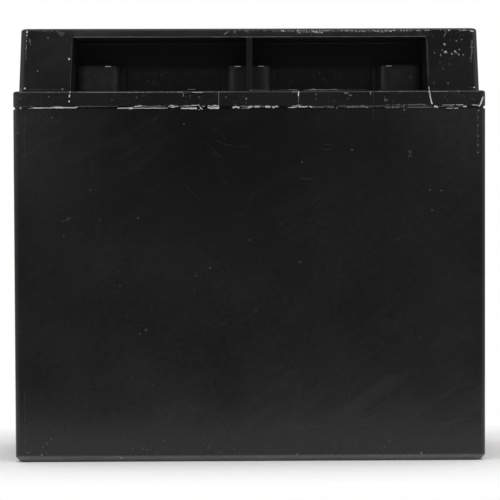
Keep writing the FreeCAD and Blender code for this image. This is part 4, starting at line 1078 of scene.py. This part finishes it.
def build_sky(studio):
    """Even light from all round and a white background, with a dim room in the reflections."""
    world = bpy.data.worlds.new("studio_sky")
    bpy.context.scene.world = world
    world.use_nodes = True
    tree = world.node_tree
    light = tree.nodes["Background"]
    light.inputs["Color"].default_value = (1, 1, 1, 1)
    light.inputs["Strength"].default_value = studio.sky_level
    direction = split_vector(tree, tree.nodes.new("ShaderNodeTexCoord").outputs["Generated"])
    room = remap(tree, direction["Y"], *DIM_ROOM_Y, studio.dim_level, studio.side_level)
    ray = tree.nodes.new("ShaderNodeLightPath").outputs
    level = mix_value(tree, ray["Is Glossy Ray"], 1.0, room)
    white = new_node(tree, "ShaderNodeBackground", {"Color": (1, 1, 1, 1), "Strength": level})
    seen = maths(tree, "MAXIMUM", ray["Is Camera Ray"], ray["Is Transmission Ray"])
    mixed = new_node(tree, "ShaderNodeMixShader", {
        0: maths(tree, "MAXIMUM", seen, ray["Is Glossy Ray"]), 1: light.outputs[0],
        2: white.outputs[0]})
    tree.links.new(mixed.outputs[0], tree.nodes["World Output"].inputs["Surface"])


def add_lamp(name, place, target, size, power):
    """A square softbox that faces a point."""
    lamp = bpy.data.lights.new(name, "AREA")
    lamp.shape, lamp.size, lamp.energy = "SQUARE", size, power
    thing = add_object(name, lamp)
    thing.location = place
    thing.rotation_euler = (Vector(target) - Vector(place)).to_track_quat("-Z", "Y").to_euler()


def add_camera(studio):
    """The photograph's camera."""
    view = PhotoView(studio)
    camera = bpy.data.cameras.new("photo_camera")
    camera.sensor_width = 36
    camera.lens = camera.sensor_width / 2 / view.spread
    thing = add_object("photo_camera", camera)
    thing.matrix_world = view.matrix()
    bpy.context.scene.camera = thing


class BATTERY_OT_finish_mouldings(bpy.types.Operator):
    """Give the case, lid and vent cover their worn black plastic"""

    bl_idname = "battery.finish_mouldings"
    bl_label = "Finish Mouldings"

    def execute(self, context):
        plastic = context.scene.battery_plastic
        paint("case_abs", moulded_plastic("case_plastic", plastic.case_colour, plastic,
                                          dust=case_dust_and_reflection))
        paint("lid_abs", moulded_plastic("lid_plastic", plastic.lid_colour, plastic,
                                         gloss=(0.27, 0.5), grain=1.4, dust=lid_dust_and_light,
                                         depth=pocket_shade, clouds=0.85))
        paint("cover_abs", moulded_plastic("cover_plastic", plastic.lid_colour, plastic,
                                           gloss=(0.42, 0.58), grain=2.2))
        for name in ("case", "lid", "vent_cover"):
            smooth_by_angle(NODES[name])
        return {"FINISHED"}


class BATTERY_OT_finish_inside(bpy.types.Operator):
    """Give the plate groups, mats, links, resins and rubbers their finishes"""

    bl_idname = "battery.finish_inside"
    bl_label = "Finish Inner Parts"

    def execute(self, context):
        for slot, *finish in INNER_FINISHES:
            paint(slot, plain_mottled(*finish))
        paint("lead", dull_metal("cast_lead", (0.3, 0.31, 0.33), (0.17, 0.175, 0.185), (0.42, 0.68),
                                 0.01 * MM, 420))
        return {"FINISHED"}


class BATTERY_OT_finish_terminals(bpy.types.Operator):
    """Finish the terminals and hardware, and turn the bolts with real threads"""

    bl_idname = "battery.finish_terminals"
    bl_label = "Finish Terminals"

    def execute(self, context):
        hardware = context.scene.battery_hardware
        paint("tinned_terminal", dull_metal("tinned_brass", (0.62, 0.61, 0.58), (0.42, 0.41, 0.385),
                                            (0.24, 0.42), 0.006 * MM, 520))
        steel = dull_metal("zinc_plated_steel", (0.6, 0.6, 0.6), (0.43, 0.44, 0.45), (0.2, 0.38),
                           0.005 * MM, 640)
        paint("plated_steel", steel)
        low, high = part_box("terminal_bolts")
        half_head = hardware.head_flats / math.cos(math.pi / 6) / 2
        shape = bmesh.new()
        for x in (low.x + half_head, high.x - half_head):
            add_threaded_bolt(shape, x, (low.z + high.z) / 2, low.y, high.y, hardware)
        bolts = new_piece("threaded_bolts", shape, steel)
        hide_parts("terminal_bolts")
        smooth_by_angle(bolts, math.radians(26))
        return {"FINISHED"}


class BATTERY_OT_mould_polarity_marks(bpy.types.Operator):
    """Mould a plus and a minus on the roof beside the terminals"""

    bl_idname = "battery.mould_polarity_marks"
    bl_label = "Mould Polarity Marks"

    def execute(self, context):
        hardware = context.scene.battery_hardware
        plastic = NODES["lid"].data.materials[0]
        length, width, height = hardware.mark_length, hardware.mark_width, hardware.mark_height
        low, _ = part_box("positive_terminal")
        for word, sign in (("positive", 1), ("negative", -1)):
            place = Vector((sign * (low.x - MARK_INWARD),
                            (low.y + CAD_HIGH.y) / 2 - MARK_FORWARD, CAD_HIGH.z))
            shape = bmesh.new()
            add_bar(shape, place, length, width, height)
            if word == "positive":
                add_bar(shape, place, width, length, height * SECOND_BAR)
            new_piece(f"{word}_mark", shape, plastic)
        return {"FINISHED"}


class BATTERY_OT_wear_front(bpy.types.Operator):
    """Lay the scuffs and flecks of the photographed side on the mouldings, with painted highlights
    among them
    """

    bl_idname = "battery.wear_front"
    bl_label = "Wear Front"

    def execute(self, context):
        wear = context.scene.battery_wear
        view = PhotoView(context.scene.battery_studio)
        tones = (("pale", wear.pale_colour, PALE_SCUFFS_AND_GLINTS, PALE_FLECKS, PALE_SPECKLES, 1.6),
                 ("grey", wear.grey_colour, GREY_SCUFFS_AND_HIGHLIGHTS, GREY_FLECKS, GREY_SPECKLES, 1.0),
                 ("faint", wear.faint_colour, FAINT_SCUFFS_AND_HIGHLIGHTS, FAINT_FLECKS, FAINT_SPECKLES, 0.6))
        # Each tone holds scuffs and flecks, and also painted highlights, glints and a painted
        # reflection.
        for tone, (word, colour, scuffs, flecks, speckles, height) in enumerate(tones):
            lift = wear.lift * height
            dark = [value * BRUISE_SHADE for value in colour]
            finish = plain_mottled(f"{word}_bruise_and_highlight", colour, dark, (0.5, 0.8), 1400, 0.01 * MM)
            shape = bmesh.new()
            for index, scuff in enumerate(scuffs):
                add_scuff(shape, view, *scuff, lift, wear.seed + 13 * index + tone)
            for index, (x, y, radius) in enumerate(flecks):
                add_speck(shape, view, (x, y), radius, lift, wear.seed + index)
            for index, band in enumerate(speckles):
                add_speckles(shape, view, *band, lift, wear.seed + 101 * (index + 1))
            if not shape.faces:
                raise RuntimeError(f"no {word} scuff met the mouldings")
            new_piece(f"{word}_scuffs_and_highlights", shape, finish)
        return {"FINISHED"}


class BATTERY_OT_build_studio(bpy.types.Operator):
    """Build the pale floor, the soft lamps and the photograph's camera"""

    bl_idname = "battery.build_studio"
    bl_label = "Build Studio"

    def execute(self, context):
        studio = context.scene.battery_studio
        build_floor(studio)
        build_sky(studio)
        for name, place, target, size, share in LAMPS:
            add_lamp(name, place, target, size, studio.lamp_power * share)
        add_camera(studio)
        return {"FINISHED"}


class BATTERY_PT_looks(bpy.types.Panel):
    """Battery sizes, colours and build steps"""

    bl_idname = "BATTERY_PT_looks"
    bl_label = "Block Battery"
    bl_space_type = "VIEW_3D"
    bl_region_type = "UI"
    bl_category = "Battery"

    def draw(self, context):
        for name, group in PROPERTY_GROUPS.items():
            box = self.layout.box()
            box.label(text=group.__doc__)
            for key in group.__annotations__:
                box.prop(getattr(context.scene, name), key)
        for step in STEPS:
            self.layout.operator(step.bl_idname)


STEPS = (
    BATTERY_OT_finish_mouldings,
    BATTERY_OT_finish_inside,
    BATTERY_OT_finish_terminals,
    BATTERY_OT_mould_polarity_marks,
    BATTERY_OT_wear_front,
    BATTERY_OT_build_studio,
)
CLASSES = (*PROPERTY_GROUPS.values(), *STEPS, BATTERY_PT_looks)


def register():
    for kind in CLASSES:
        bpy.utils.register_class(kind)
    for name, group in PROPERTY_GROUPS.items():
        setattr(bpy.types.Scene, name, PointerProperty(type=group))


def unregister():
    for name in PROPERTY_GROUPS:
        delattr(bpy.types.Scene, name)
    for kind in reversed(CLASSES):
        bpy.utils.unregister_class(kind)


def main():
    register()
    scene = bpy.context.scene
    scene.view_settings.view_transform = "Standard"
    bpy.ops.battery.finish_mouldings()
    bpy.ops.battery.finish_inside()
    bpy.ops.battery.finish_terminals()
    bpy.ops.battery.mould_polarity_marks()
    bpy.ops.battery.wear_front()
    bpy.ops.battery.build_studio()


if __name__ == "__main__":
    main()
